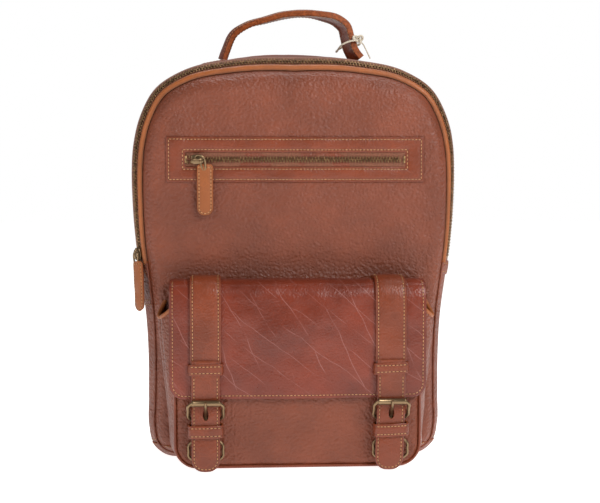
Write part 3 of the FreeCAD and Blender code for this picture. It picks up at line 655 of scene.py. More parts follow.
@once
def needle_hole_material():
    """The dark needle holes at the ends of each stitch, in shade and stained by wax."""
    material, tree, shader = new_material("hole", Roughness=0.7)
    place = add_node(tree, "ShaderNodeTexCoord").outputs["Object"]
    grime = pattern(tree, place, "ShaderNodeTexNoise", 6, Detail=1.0).outputs["Fac"]
    tint = mixed(tree, grime, rgba(colours().trim, 0.12), rgba(colours().trim, 0.3))
    tree.links.new(tint, shader.inputs["Base Color"])
    return material


# ---------------------------------------------------------------- the shape of the bag

RIGHT_HALF = [(0, 0), (60, 0), (112, 0), (132, 3.5), (143.5, 14), (148, 32), (148, 60), (148, 100), (150.5, 148),
              (155, 182), (160, 218), (163.2, 262), (163.8, 290), (162.5, 318), (156.5, 346), (141.5, 375),
              (112.5, 395), (66, 407), (0, 412)]
OUTLINE = Line(RIGHT_HALF + [(-x, z) for x, z in RIGHT_HALF[-2:0:-1]], closed=True, fineness=20)
AROUND = OUTLINE.length
PANEL_FACE, PANEL_EDGE = -72.3, -61
ZIP_END = 198
BASE_HIGH = 15
BAND_FRONT, BAND_BACK = -46, 58
SLOPE_BACK = -48
BACK_ROLL = 14
CROWN_FALL = 7


def around_at(side, height):
    """The distance round the outline at which that side of the bag has that height."""
    low, high = (60, AROUND / 2) if side > 0 else (AROUND - 60, AROUND / 2)
    for _ in range(40):
        middle = (low + high) / 2
        low, high = (middle, high) if OUTLINE.at(middle)[1] < height else (low, middle)
    return low


RIM = [(0, 7), *[(around_at(side, z) if side else AROUND / 2, wide) for side, z, wide in (
    (1, 18, 7), (1, 198, 8), (1, 300, 10.5), (0, 412, 22), (-1, 300, 12.2), (-1, 198, 10), (-1, 18, 7))], (AROUND, 7)]


def outline_table():
    """The outline at every half millimetre: x, z, the way inwards, and how far inside it the front panel's edge lies."""
    table = []
    for s in np.arange(0, AROUND + 0.5, 0.5):
        x, z = OUTLINE.at(s % AROUND)
        run, rise = OUTLINE.at((s + 2) % AROUND) - OUTLINE.at((s - 2) % AROUND)
        size = math.hypot(run, rise)
        rim = float(np.interp(s % AROUND, [at for at, _ in RIM], [wide for _, wide in RIM]))
        table.append((float(x), float(z), -rise / size, run / size, rim))
    return table


TABLE = outline_table()


def from_table(s, column):
    spot = (s % AROUND) * 2
    low = int(spot)
    high = min(low + 1, len(TABLE) - 1)
    return TABLE[low][column] + (TABLE[high][column] - TABLE[low][column]) * (spot - low)


def rim_width(s):
    """How far the front panel's edge lies inside the outline: most at the top and on the left shoulder."""
    return from_table(s, 4)


def inside_of(s, inset):
    """The point that lies inset inside the outline, as x and z."""
    return from_table(s, 0) + from_table(s, 2) * inset, from_table(s, 1) + from_table(s, 3) * inset


def slope_inset(y, rim):
    """How far in the gusset lies at a depth: it falls a little over the crown, then slopes to the panel's edge."""
    fall = CROWN_FALL * min(1, max(0, (rim - 12) / 10)) * min(1, max(0, y / SLOPE_BACK))
    share = max(0, (SLOPE_BACK - y) / (SLOPE_BACK - PANEL_EDGE))
    return fall + (rim - fall) * share ** 1.1


def roll_width(rim):
    """How wide the front panel's rounded edge is: narrow round the base's corners, wide over the crown."""
    return 14 + 7 * ease(9, 20, rim)


def front_face(x, z):
    """The depth of the front panel away from its edge, with the soft folds of a filled bag."""
    folds = (hump(x, z, -96, 352, 22, 16, 1.6) + hump(x, z, -62, 372, 20, 12, -1.5) + hump(x, z, -120, 318, 16, 26, -1.0)
             + hump(x, z, 40, 374, 26, 10, 1.0) + hump(x, z, 104, 350, 26, 20, -1.2) + hump(x, z, 0, 250, 120, 26, -0.5)
             + hump(x, z, 130, 240, 16, 40, 0.9) + hump(x, z, 0, 196, 110, 13, 2.4))
    return PANEL_FACE + folds + ripple(x, 0, z, 46, 0.9) + ripple(x, 0, z, 17, 0.3, 7)


def panel_ring(share, s):
    """A point of the front panel, share 0 at its middle and 1 at its tucked edge."""
    rim = rim_width(s)
    roll = roll_width(rim)
    middle = np.array((0, 110))
    if share < 0.7:
        x, z = middle + (np.array(inside_of(s, rim + roll)) - middle) * (share / 0.7)
        return x, front_face(x, z), z
    if share > 0.985:
        x, z = inside_of(s, rim + 0.6)
        return x, PANEL_EDGE + 2.5, z
    across = ((share - 0.7) / 0.28)
    inset = rim + roll * (1 - min(1, across)) ** 1.35
    x, z = inside_of(s, inset)
    depth = min(1, (inset - rim) / roll)
    full = 1 - (1 - depth) ** 2.8
    pucker = 0.35 * (1 - depth) * noise.noise(Vector((s / 9, 3.0, 0)))
    return x, PANEL_EDGE + (front_face(x, z) - PANEL_EDGE) * full + pucker, z


def painted_seam_shade(distance, wide=2.2):
    """How much painted shade a seam puts on the leather at a distance from it."""
    return max(0.0, 1 - abs(distance) / wide) ** 1.5


def make_front_panel():
    """The front panel is one soft hide from the base seam to the crown."""
    def painted_shade(u, v):
        x, _, z = panel_ring(v, u * AROUND)
        # Painted shadow in a band just above the flap, and painted shade over the rolled edge where it tucks into the
        # seam.
        painted_flap_shadow = 0.4 * math.exp(-((z - 190) / 12) ** 2) * ease(138, 112, abs(x))
        return max(painted_seam_shade((1 - v) * 90, 9) * 0.8, painted_flap_shadow)

    panel = sheet("front_panel", 300, 76, lambda u, v: panel_ring(v, u * AROUND), painted_shade)
    weld(panel)
    outward_check(panel, Vector((0, -1, 0)))
    dress(panel, pebbled_cowhide(), burnished_edge())
    thicken(panel, in_mm(sizes().hide))
    hand_over(panel, "bag", "leather", "front_panel_lower", "front_panel_upper")
    spread(panel, "bag", "panel", (0, PANEL_FACE, 182), (0, PANEL_FACE, 214))


def outward_check(obj, outside):
    """Turns an open sheet round if its middle faces away from the outside."""
    total = sum((p.normal * p.area for p in obj.data.polygons), Vector())
    if total.dot(outside) < 0:
        in_edit_mode(obj, (bpy.ops.mesh.flip_normals, {}))


BAND_START, BAND_END = around_at(1, BASE_HIGH), around_at(-1, BASE_HIGH)


def band_point(u, v):
    """A point of the side band: u round the bag from one base seam to the other, v from front to back."""
    s = BAND_START + u * (BAND_END - BAND_START)
    height = from_table(s, 1)
    above = ease(ZIP_END - 3, ZIP_END + 3, height)
    front = (PANEL_EDGE + 1.2) * (1 - above) + BAND_FRONT * above
    y = front + v * (BAND_BACK + 1.5 - front)
    inset = slope_inset(y, rim_width(s))
    if y > BAND_BACK - 6:
        inset += 2.2 * ((y - BAND_BACK + 6) / 7.5) ** 2
    if v < 0.03 and above > 0.5:
        inset += 0.6
    flank = math.sin(math.pi * min(1, max(0, (y + 50) / 105)))
    inset -= flank * (ripple(s / 2, y, 0, 30, 1.1, 5) + ripple(s, y, 0, 12, 0.3, 9) - 0.6)
    if height < 120:
        inset += flank * 1.4 * math.sin(height / 17) * ease(120, 60, height) if height > 30 else 0
    x, z = inside_of(s, inset)
    return x, y, z


def band_side(obj):
    """Turns a shell that goes round the bag to face away from the middle."""
    middle = Vector((0, 0, 0.2))
    total = sum((p.center - middle).dot(p.normal) * p.area for p in obj.data.polygons)
    if total < 0:
        in_edit_mode(obj, (bpy.ops.mesh.flip_normals, {}))


def make_side_band():
    # Painted shade near the band's front and back seams and at its ends by the base.
    def painted_shade(u, v):
        return max(painted_seam_shade(v * 112, 3), painted_seam_shade((1 - v) * 112, 3), 0.6 * painted_seam_shade(min(u, 1 - u) * 1000, 3))
    band = sheet("side_band", 330, 40, band_point, painted_shade)
    band_side(band)
    dress(band, pebbled_cowhide(), burnished_edge())
    thicken(band, in_mm(sizes().hide))
    hand_over(band, "bag", "leather", "side_band")
    start, end = around_at(1, ZIP_END + 4), around_at(-1, ZIP_END + 4)
    ring = [placed(s, BAND_FRONT + 3, slope_inset(BAND_FRONT + 3, rim_width(s))) for s in np.linspace(start, end, 150)]
    back = [placed(s, BAND_BACK - 4, 0.6) for s in np.linspace(around_at(1, 17), around_at(-1, 17), 220)]
    rows = [ring, back]
    for side, height in ((-1, 158), (1, 212)):
        for lift in (-2.2, 2.2):
            s = around_at(side, height + lift)
            front = -44 if height > 200 else -58
            rows.append([placed(s, y, slope_inset(y, rim_width(s))) for y in np.linspace(front, BAND_BACK - 5, 40)])
    for side in (1, -1):
        s = around_at(side, BASE_HIGH + 2.6)
        rows.append([placed(s, y, slope_inset(y, rim_width(s))) for y in np.linspace(-58, BAND_BACK - 5, 40)])
    sew("side_band_stitches", surface_of(band), rows, "bag")


def placed(s, y, inset=0.0):
    x, z = inside_of(s, inset)
    return x, y, z


def make_base():
    """The base tray wraps the bottom and turns up on the front as a low apron with a stitched top edge."""
    start, end = around_at(-1, BASE_HIGH + 0.5) - AROUND, around_at(1, BASE_HIGH + 0.5)

    def base_point(u, v):
        s = start + u * (end - start)
        x, z = inside_of(s, 0)
        drop = max(0.15, (z - inside_of(s, -1)[1]))
        reach = min(BASE_HIGH, max(0, (BASE_HIGH - z) / drop))
        rim = rim_width(s)
        if v < 0.3:
            inset = reach * (1 - v / 0.3) - 0.4
            x, z = inside_of(s, inset)
            depth = min(1, max(0, (inset - rim) / roll_width(rim)))
            face = PANEL_EDGE + (front_face(x, z) - PANEL_EDGE) * (1 - (1 - depth) ** 2.8)
            if inset < rim:
                face = PANEL_EDGE + (SLOPE_BACK - PANEL_EDGE) * (1 - max(0, inset + 0.4) / (rim + 0.4)) ** 0.9
            return x, face - 1.3, max(z, 0.1)
        y = SLOPE_BACK - 1.3 + (v - 0.3) / 0.7 * (BAND_BACK + 1.3 - SLOPE_BACK + 1.3)
        x, z = inside_of(s, -0.5 + (1.8 * ((y - 52) / 7.3) ** 2 if y > 52 else 0))
        return x, y, max(z, 0.1)

    # Painted shade along the apron's top edge.
    tray = sheet("base_tray", 150, 60, base_point, lambda u, v: 0.7 * painted_seam_shade(v * 60, 2))
    band_side(tray)
    dress(tray, pebbled_cowhide(), burnished_edge())
    thicken(tray, 1.6)
    hand_over(tray, "bag", "leather", "base_tray")
    row = [(x, -71, BASE_HIGH - 2.6) for x in np.linspace(-134, 134, 90)]
    sides = []
    for side in (1, -1):
        s = around_at(side, BASE_HIGH - 2.6)
        sides.append([placed(s, y, slope_inset(y, rim_width(s))) for y in np.linspace(-58, BAND_BACK - 4, 40)])
    sew("base_stitches", surface_of(tray), [row] + sides, "bag")


def make_back():
    """The back panel is a padded hide, quilted by two rows of stitches that follow the outline."""
    def back_point(u, v):
        s = u * AROUND
        rim = 1.8
        middle = np.array((0, 205))
        if v < 0.7:
            x, z = middle + (np.array(inside_of(s, rim + BACK_ROLL)) - middle) * (v / 0.7)
            inset = rim + BACK_ROLL + (0.7 - v) * 130
        else:
            inset = rim + BACK_ROLL * max(0, 1 - (v - 0.7) / 0.3) ** 1.2
            x, z = inside_of(s, inset)
        full = 1 - (1 - min(1, max(0, inset - rim) / 12)) ** 2.4
        quilt = 0.9 * math.exp(-((inset - 12) / 2) ** 2)
        channel = 0.9 * math.exp(-(x / 2.4) ** 2) * ease(40, 60, z) * ease(370, 350, z)
        return x, 59.2 + 1.5 * full - quilt - channel + ripple(x, 1, z, 40, 0.35, 3), z

    # Painted shade over the back's rolled edge by the seam.
    back = sheet("back_panel", 240, 60, back_point, lambda u, v: painted_seam_shade((1 - v) * 100, 8) * 0.7)
    weld(back)
    outward_check(back, Vector((0, 1, 0)))
    dress(back, pebbled_cowhide(), burnished_edge())
    thicken(back, 2)
    hand_over(back, "bag", "leather", "back_panel")
    border = [placed(s, 60.5, 12) for s in np.linspace(0, AROUND, 260, endpoint=False)]
    edge = [placed(s, 60.5, 5) for s in np.linspace(0, AROUND, 260, endpoint=False)]
    middle = [(0, 60.5, z) for z in np.linspace(48, 362, 80)]
    sew("back_stitches", surface_of(back), [border, edge, middle], "bag")


def make_lining():
    """The cotton lining follows the side band and covers the back; it is open towards the front panel."""
    def lining_point(u, v):
        s = u * AROUND
        if v < 0.6:
            y = -25 + 74 * v / 0.6
            return placed(s, y, 3.8 + slope_inset(y, rim_width(s)) + ripple(s, y, 0, 26, 0.5, 51))
        share = (v - 0.6) / 0.4
        x, z = inside_of(s, 3.8)
        return x * (1 - share), 49.4 + ripple(x * (1 - share), 0, z, 30, 0.3, 52), z + (205 - z) * share

    cloth = sheet("lining", 240, 40, lining_point)
    weld(cloth)
    dress(cloth, cotton_lining(), cotton_lining())
    thicken(cloth, 0.8)
    hand_over(cloth, "bag", "lining", "lining")


def make_back_pad():
    """A slab of foam between the lining and the back panel, cut with square edges."""
    def pad_point(u, v):
        s = u * AROUND
        x, z = inside_of(s, 7)
        share = min(1, v / 0.42) if v < 0.5 else min(1, (1 - v) / 0.42)
        return x * share, 50.8 if v < 0.5 else 57.4, 205 + (z - 205) * share

    pad = sheet("back_pad", 160, 24, pad_point)
    weld(pad)
    outward(pad)
    dress(pad, foam_padding())
    hand_over(pad, "bag", "padding", "back_pad")


def make_piping(name, body, node, slot, around, material):
    """A thin corded piping in the seam between the front panel and the gusset."""
    start, end = around
    points = [placed(s, PANEL_EDGE + 0.4, rim_width(s) - 1.0) for s in np.linspace(start, end, 90)]
    cord = wire(name, points, 1.25, fineness=4)
    dress(cord, material)
    hand_over(cord, body, slot, node)


def make_lower_binding():
    start, end = around_at(-1, ZIP_END - 1) - AROUND, around_at(1, ZIP_END - 1)
    make_piping("panel_binding_lower", "bag", "panel_binding_lower", "leather", (start, end), pebbled_cowhide())


# ---------------------------------------------------------------- the main zip

def zip_slope(s, share, lift=0.0):
    """A point on the sloping zip gusset: share 0 at the panel's edge, 1 at the band, lift out from the slope."""
    rim = rim_width(s)
    y = PANEL_EDGE + 0.4 + share * (BAND_FRONT - PANEL_EDGE - 0.4)
    inset = slope_inset(y, rim) + 0.2
    steep = (rim - slope_inset(SLOPE_BACK, rim)) / (SLOPE_BACK - PANEL_EDGE)
    size = math.hypot(1, steep)
    return placed(s, y - lift * steep / size, inset - lift / size)


def zip_run(extra=0.0):
    return around_at(1, ZIP_END + extra), around_at(-1, ZIP_END + extra)


def make_zip_tapes():
    start, end = zip_run(-1)

    def roll_point(u, v):
        s = start + u * (end - start)
        bulge = math.sin(math.pi * min(1, v / 0.92)) ** 0.7
        return zip_slope(s, 0.0 + v * 0.36, 0.3 + 2.5 * bulge + 0.25 * noise.noise(Vector((s / 8, v, 0))))

    # Painted shade along both edges of the zip roll.
    roll = sheet("zip_roll", 360, 10, roll_point, lambda u, v: max(painted_seam_shade(v * 6, 1.2), painted_seam_shade((1 - v) * 6, 1)))
    band_side(roll)
    dress(roll, pull_leather(), burnished_edge())
    thicken(roll, 1.0)
    hand_over(roll, "panel", "leather_edge", "panel_binding_upper")
    for name, low, high, body, node in (("front_tape", 0.3, 0.56, "panel", "main_zip_front_tape"),
                                        ("back_tape", 0.56, 1.06, "bag", "main_zip_back_tape")):
        tape = sheet(node, 320, 6, lambda u, v, low=low, high=high: zip_slope(
            start + u * (end - start), low + v * (high - low), 0.2 - (0.8 if v > 0.9 and high > 1 else 0)))
        band_side(tape)
        dress(tape, zip_twill(), zip_twill())
        thicken(tape, 0.8)
        hand_over(tape, body, "zip_tape", node)


def tooth_template(long, wide, high):
    tooth = new_from(bpy.ops.mesh.primitive_cube_add, "tooth", size=1)
    tooth.scale = (wide * MM, long * MM, high * MM)
    settle(tooth)
    with_modifier(tooth, "BEVEL", width=0.28 * MM, segments=1)
    dress(tooth, zip_brass())
    return tooth


def make_chain():
    start, end = zip_run(5)
    pitch = in_mm(sizes().tooth)
    count = int((end - start) / pitch)
    template = tooth_template(3.7, 1.4, 1.8)
    for node, shift, offset, body in (("main_zip_front_teeth", 0, 0.47, "panel"), ("main_zip_back_teeth", 0.5, 0.60, "bag")):
        frames = []
        for i in range(count):
            s = start + (i + shift) * pitch
            middle = Vector(zip_slope(s, offset, 0.9))
            along = Vector(zip_slope(s + 1, offset)) - Vector(zip_slope(s - 1, offset))
            across = Vector(zip_slope(s, offset + 0.1)) - Vector(zip_slope(s, offset - 0.1))
            frames.append(frame_at(middle, along, across.cross(along) * -1))
        teeth = copies(node, template, frames)
        hand_over(teeth, body, "zip_teeth", node)
    discard(template)


def make_end_tabs():
    """A folded leather tab sewn over each end of the zip."""
    parts, rows = [], []
    for side in (1, -1):
        low, high = around_at(side, ZIP_END - 13), around_at(side, ZIP_END + 1)
        share = lambda v: -0.02 + v * 1.3
        tab = sheet("tab", 12, 20, lambda u, v, low=low, high=high: zip_slope(
            low + u * (high - low), share(v), 1.5 + 0.7 * math.sin(math.pi * u) * math.sin(math.pi * v)))
        band_side(tab)
        dress(tab, pebbled_cowhide(), burnished_edge())
        thicken(tab, 1.8)
        parts.append(tab)
        for u in (0.2, 0.8):
            rows.append([zip_slope(low + u * (high - low), share(v), 1.8) for v in (0.1, 0.5, 0.9)])
    tabs = joined("zip_end_tabs", parts)
    hand_over(tabs, "bag", "leather_edge", "zip_end_tabs")
    sew("zip_end_stitches", surface_of(tabs), rows, "bag")


# ---------------------------------------------------------------- flat leather parts along a line

class Ribbon:
    """A flat piece of leather that follows a line, with a width, an own side direction and rounded ends."""

    def __init__(self, line, half, round_start=0.0, round_end=0.0, side=(1, 0, 0), spread=None):
        self.line, self.half, self.spread = line, half, spread
        self.rounds, self.side = (round_start, round_end), np.array(side, float)

    def half_at(self, distance, inset=0.0):
        """Half the width at a distance along the line, less an inset from the edge."""
        half = self.half + (self.spread(distance / self.line.length) if self.spread else 0)
        for radius, from_end in zip(self.rounds, (distance, self.line.length - distance)):
            if radius and from_end < radius:
                left = max(0.0, (radius - inset) ** 2 - (radius - from_end) ** 2)
                return half - radius + math.sqrt(left)
        return half - inset

    def normal(self, distance):
        facing = np.cross(self.line.direction(distance), self.side_at(distance))
        return facing / np.linalg.norm(facing)

    def side_at(self, distance):
        return self.side

    def point(self, distance, across, lift=0.0, inset=0.0):
        """across is -1 at one edge and 1 at the other."""
        offset = self.side_at(distance) * across * self.half_at(distance, inset)
        return self.line.at(distance) + offset + self.normal(distance) * lift

    def stations(self, step):
        """Distances along the line, closer together where an end is rounded."""
        length, (first, last) = self.line.length, self.rounds
        places = list(np.linspace(first, length - last, max(2, int((length - first - last) / step))))
        turns = np.linspace(0, math.pi / 2, 9)[:-1]
        head = [first * (1 - math.cos(t)) for t in turns] if first else []
        tail = [length - last * (1 - math.cos(t)) for t in turns[::-1]] if last else []
        return np.array(head + places + tail)

    def border(self, inset, start=None, end=None):
        """The line of a row of stitches inside the edge, down one side, round the end and up the other."""
        low = inset if start is None else start
        high = self.line.length - inset if end is None else end
        run = np.concatenate([np.linspace(low, high, 60), [high]])
        if self.rounds[1] and end is None:
            turns = np.linspace(0, math.pi / 2, 10)
            bend = high - (self.rounds[1] - inset) * (1 - np.cos(turns))
            run = np.concatenate([np.linspace(low, bend[-1], 40), bend[::-1]])
        down = [self.point(d, 1, 0.0, inset) for d in run]
        up = [self.point(d, -1, 0.0, inset) for d in run[::-1]]
        return down, up


def pillow(across, distance_in, thick, groove_at, full=0.5):
    """How a sewn strap swells: hollow along the stitches, full in between, rounded at the edges."""
    hollow = -0.45 * math.exp(-((distance_in - groove_at) / 0.9) ** 2)
    rounded = -0.7 * max(0, 1 - distance_in / 1.4) ** 2
    return hollow + rounded + full * (1 - across * across)


def leather_strip(name, ribbon, thick, material, groove=3.0, step=2.2, columns=26, full=0.5, crinkle=0.25, seed=0):
    """A strip of leather along a ribbon, with a burnished edge."""
    stations = ribbon.stations(step)
    rows = len(stations) - 1

    def shape(u, v):
        distance = stations[round(v * rows)]
        across = 2 * u - 1
        half = max(0.05, ribbon.half_at(distance))
        inside = min((1 - abs(across)) * half, *[d for r, d in zip(
            ribbon.rounds, (distance, ribbon.line.length - distance)) if r] or [99])
        lift = pillow(across, inside, thick, groove, full)
        spot = ribbon.point(distance, across, lift)
        return spot + ribbon.normal(distance) * ripple(*spot, 13, crinkle, seed)

    # Painted shade along the stitch grooves and the rounded edges.
    def painted_shade(u, v):
        distance = stations[round(v * rows)]
        half = max(0.05, ribbon.half_at(distance))
        inside = (1 - abs(2 * u - 1)) * half
        return max(0.55 * painted_seam_shade(inside - groove, 1.3), 0.5 * painted_seam_shade(inside, 0.8)) if groove else 0.0

    strip = sheet(name, columns, rows, shape, painted_shade)
    facing = Vector(ribbon.normal(ribbon.line.length * 0.5))
    middle = strip.data.polygons[len(strip.data.polygons) // 2 + columns // 2]
    if middle.normal.dot(facing) < 0:
        in_edit_mode(strip, (bpy.ops.mesh.flip_normals, {}))
    weld(strip)
    dress(strip, material, burnished_edge())
    thicken(strip, thick)
    soften(strip, 0.45)
    return strip


def stitched_border(ribbon, inset, start=None, end=None, closed_end=True):
    down, up = ribbon.border(inset, start, end)
    return [down + up] if closed_end else [down, up]


# ---------------------------------------------------------------- the pocket with a zip in the front panel

ZIP_Z = 302
FRAME_HALF, FRAME_HIGH = 128.5, 22.5
WINDOW_HALF, WINDOW_HIGH = 109.5, 7


def box_loop(turn, half, high):
    """A point on an upright rectangle; each side takes a quarter of the turn, from the lower left corner."""
    corners = [(-half, -high), (half, -high), (half, high), (-half, high), (-half, -high)]
    leg = min(3, int(turn * 4))
    share = turn * 4 - leg
    (x, z), (to_x, to_z) = corners[leg], corners[leg + 1]
    return x + (to_x - x) * share, z + (to_z - z) * share


def make_zip_frame():
    """A flat leather frame round the pocket zip, sewn along both edges."""
    def frame_point(u, v):
        outer, inner = box_loop(u, FRAME_HALF, FRAME_HIGH), box_loop(u, WINDOW_HALF, WINDOW_HIGH)
        x = outer[0] + (inner[0] - outer[0]) * v
        z = outer[1] + (inner[1] - outer[1]) * v
        inside = min(v, 1 - v) * 15.5
        swell = -0.4 * math.exp(-((inside - 2.6) / 0.8) ** 2) - 0.5 * max(0, 1 - inside / 1.1) ** 2
        lift = 1.7 + swell + 0.5 * math.sin(math.pi * v) + ripple(x, 0, z, 12, 0.35, 21)
        return x, front_face(x, z + ZIP_Z) - lift, z + ZIP_Z

    # Painted shade along the stitch grooves and the edges of the frame.
    def painted_shade(u, v):
        inside = min(v, 1 - v) * 15.5
        return max(0.6 * painted_seam_shade(inside - 2.6, 1.3), 0.5 * painted_seam_shade(inside, 0.8))

    plate = sheet("zip_frame", 400, 14, frame_point, painted_shade)
    weld(plate)
    outward_check(plate, Vector((0, -1, 0)))
    dress(plate, strap_cowhide(), burnished_edge())
    thicken(plate, 1.9)
    soften(plate, 0.35)
    hand_over(plate, "panel", "leather_trim", "zip_frame")
    rows = []
    for half, high in ((FRAME_HALF - 2.6, FRAME_HIGH - 2.6), (WINDOW_HALF + 2.6, WINDOW_HIGH + 2.6)):
        corners = [(-half, high), (-half, -high), (half, -high), (half, high), (-half, high)]
        for (x, z), (to_x, to_z) in zip(corners, corners[1:]):
            rows.append([(x + (to_x - x) * t, -74.2, ZIP_Z + z + (to_z - z) * t) for t in np.linspace(0, 1, 40)])
    sew("zip_frame_stitches", surface_of(plate), rows, "panel")


def make_front_zip():
    # Painted shade towards the tape's edges, where it goes under the frame.
    tape = sheet("front_zip_tape", 160, 10, lambda u, v: (
        -109.8 + u * 219.6, -72.6 - 0.5 * math.exp(-((v - 0.5) / 0.12) ** 2) + ripple(u * 219, 0, v * 14, 9, 0.15),
        ZIP_Z - 7.2 + v * 14.4), lambda u, v: painted_seam_shade(min(v, 1 - v) * 14, 3))
    outward_check(tape, Vector((0, -1, 0)))
    dress(tape, zip_twill(), zip_twill())
    thicken(tape, 0.8)
    hand_over(tape, "panel", "zip_tape", "front_zip_tape")
    pitch = in_mm(sizes().tooth) * 0.93
    template = tooth_template(3.5, 1.3, 1.6)
    frames = []
    for row, shift in ((1, 0), (-1, 0.5)):
        for i in range(int(217 / pitch)):
            x = -108.3 + (i + shift) * pitch
            apart = 1.2 + 1.6 * ease(-97, -104, x)
            frames.append(frame_at((x, -73.9, ZIP_Z + row * apart), (1, 0, 0), (0, -1, 0)))
    for x in (-109, 108.8):
        frames.append(frame_at((x, -74.1, ZIP_Z), (1, 0, 0), (0, -1, 0)) @ Matrix.Diagonal((1.6, 2.0, 1.3, 1)))
    teeth = copies("front_zip_teeth", template, frames)
    discard(template)
    hand_over(teeth, "panel", "zip_teeth", "front_zip_teeth")


# ---------------------------------------------------------------- zip sliders and pulls

def plate(name, outline, thick, rounding=0.6):
    """A small cast plate: its outline in its own plane, extruded and rounded."""
    solid = new_from(bpy.ops.mesh.primitive_circle_add, name, vertices=len(outline), fill_type="NGON")
    for vertex, (x, y) in zip(solid.data.vertices, outline):
        vertex.co = Vector((x, y, 0)) * MM
    with_modifier(solid, "SOLIDIFY", thickness=thick * MM, offset=0)
    outward(solid)
    with_modifier(solid, "BEVEL", width=rounding * MM, segments=2, limit_method="ANGLE",
                  angle_limit=math.radians(40))
    solid.data.attributes.new("seam", "FLOAT", "POINT")
    return solid


SLIDER = [(-6.6, 3.2), (-6.6, -3.2), (-4, -4.6), (1.5, -4.6), (6.4, -2.6), (6.4, 2.6), (1.5, 4.6), (-4, 4.6)]


def slider(name, place, along, out, body, node):
    """A zip slider: a waisted plate over the chain with a raised bridge that holds the pull."""
    base = plate("base", SLIDER, 2.2)
    arch = wire("arch", [(-5.2, 0, 0.8), (-4.4, 0, 2.8), (-1.5, 0, 4.6), (2.5, 0, 4.6), (4.6, 0, 2.8), (5.2, 0, 0.8)],
                1.25)
    made = joined(name, [base, arch])
    made.data.transform(frame_at(place, along, out))
    dress(made, antique_brass())
    return hand_over(made, body, "antique_brass", node)


def make_front_pull():
    slider("front_slider", (-97, -76.2, ZIP_Z), (1, 0, 0), (0, -1, 0), "front_slider_body", "front_slider")
    link = wire("front_pull_link", [(-99.5, -79.2, 303.5), (-97.5, -80.4, 306), (-93.5, -80.9, 305.5),
                                    (-90.2, -80.3, 302), (-89.6, -79.4, 296.5), (-89.9, -78.6, 292),
                                    (-91.6, -78.4, 291.5), (-93, -78.9, 294.5), (-94.6, -79.2, 299.5),
                                    (-97, -78.9, 301.5)], 0.95, closed=True)
    dress(link, antique_brass())
    hand_over(link, "front_link", "antique_brass", "front_pull_link")
    pull("front_pull_tab", Line([(-90, -78.6, 297.5), (-90, -79.1, 283), (-90, -79.0, 265), (-90, -78.4, 246.5)]),
         (1, 0, 0), "front_tab", "front_pull_tab")


def pull(name, line, side, body, node):
    """A zip pull: two thin hides glued together, rounded at the foot and sewn round the edge."""
    shape = Ribbon(line, 8, 3.5, 7.9, side)
    strip = leather_strip(name, shape, 2.6, pull_leather(), groove=2.1, step=1.6, columns=18, full=0.5, crinkle=0.35)
    hand_over(strip, body, "leather_pull", node)
    rows = stitched_border(shape, 2.1)
    across = [shape.point(3.2, a, 0, 2.1) for a in (-1, -0.3, 0.3, 1)]
    sew(name + "_stitches", surface_of(strip), rows + [across], body)


def make_main_pull():
    s = around_at(-1, 207)
    place = zip_slope(s, 0.58, 2.0)
    along = Vector(zip_slope(s - 2, 0.6)) - Vector(zip_slope(s + 2, 0.6))
    across = Vector(zip_slope(s, 0.8)) - Vector(zip_slope(s, 0.4))
    out = across.cross(along).normalized()
    if out.x > 0:
        out = -out
    slider("main_slider", place, -along, out, "main_slider_body", "main_slider")
    grip = Vector(place) + out * 2.6
    across.normalize()
    link = wire("main_pull_link", [grip + across * w + Vector((0, 0, h)) + out * o for w, h, o in (
        (-3, 1, 1), (0, 2.6, 1.3), (3, 1, 1), (3.2, -6, 0.6), (1.6, -12.5, 0), (-1.6, -12.5, 0), (-3.2, -6, 0.6))],
        0.95, closed=True)
    dress(link, antique_brass())
    hand_over(link, "main_link", "antique_brass", "main_pull_link")
    top = grip + Vector((0.6, -2.6, -6.5))
    drop = [top, top + Vector((0.8, -2.6, -16)), top + Vector((1.6, -4.2, -34)), top + Vector((2.0, -5.2, -50))]
    pull("main_pull_tab", Line(drop), tuple(-across), "main_tab", "main_pull_tab")


# ---------------------------------------------------------------- the flap pocket

POCKET_HALF, POCKET_LOW, POCKET_HIGH, POCKET_FACE, POCKET_RADIUS = 120, 2, 171, -112, 22


def pocket_edge(turn, grow=0.0):
    """The pocket's outline, from its upper left corner down, along the bottom and up: x, z and the way out."""
    side, bend, floor = POCKET_HIGH - POCKET_LOW - POCKET_RADIUS, math.pi / 2 * POCKET_RADIUS, 2 * (POCKET_HALF - POCKET_RADIUS)
    d = turn * (2 * side + 2 * bend + floor)
    inner = POCKET_HALF - POCKET_RADIUS
    if d < side:
        return -POCKET_HALF - grow, POCKET_HIGH - d, -1.0, 0.0
    d -= side
    if d < bend:
        a = math.pi + d / POCKET_RADIUS
        return (-inner + (POCKET_RADIUS + grow) * math.cos(a), POCKET_LOW + POCKET_RADIUS + (POCKET_RADIUS + grow) * math.sin(a),
                math.cos(a), math.sin(a))
    d -= bend
    if d < floor:
        return -inner + d, POCKET_LOW - grow, 0.0, -1.0
    d -= floor
    if d < bend:
        a = 1.5 * math.pi + d / POCKET_RADIUS
        return (inner + (POCKET_RADIUS + grow) * math.cos(a), POCKET_LOW + POCKET_RADIUS + (POCKET_RADIUS + grow) * math.sin(a),
                math.cos(a), math.sin(a))
    d -= bend
    return POCKET_HALF + grow, POCKET_LOW + POCKET_RADIUS + d, 1.0, 0.0


def pocket_face(x, z):
    """The depth of the pocket's front, a little full and softly folded."""
    full = (1 - (x / 122) ** 2) * math.sin(math.pi * min(1, max(0, (z - 2) / 190)))
    folds = hump(x, z, -60, 46, 18, 26, 0.8) + hump(x, z, 58, 40, 16, 24, 0.8) + hump(x, z, 0, 26, 50, 12, -0.5)
    return POCKET_FACE - 1.3 * full + folds + ripple(x, 0, z, 24, 0.7, 13)


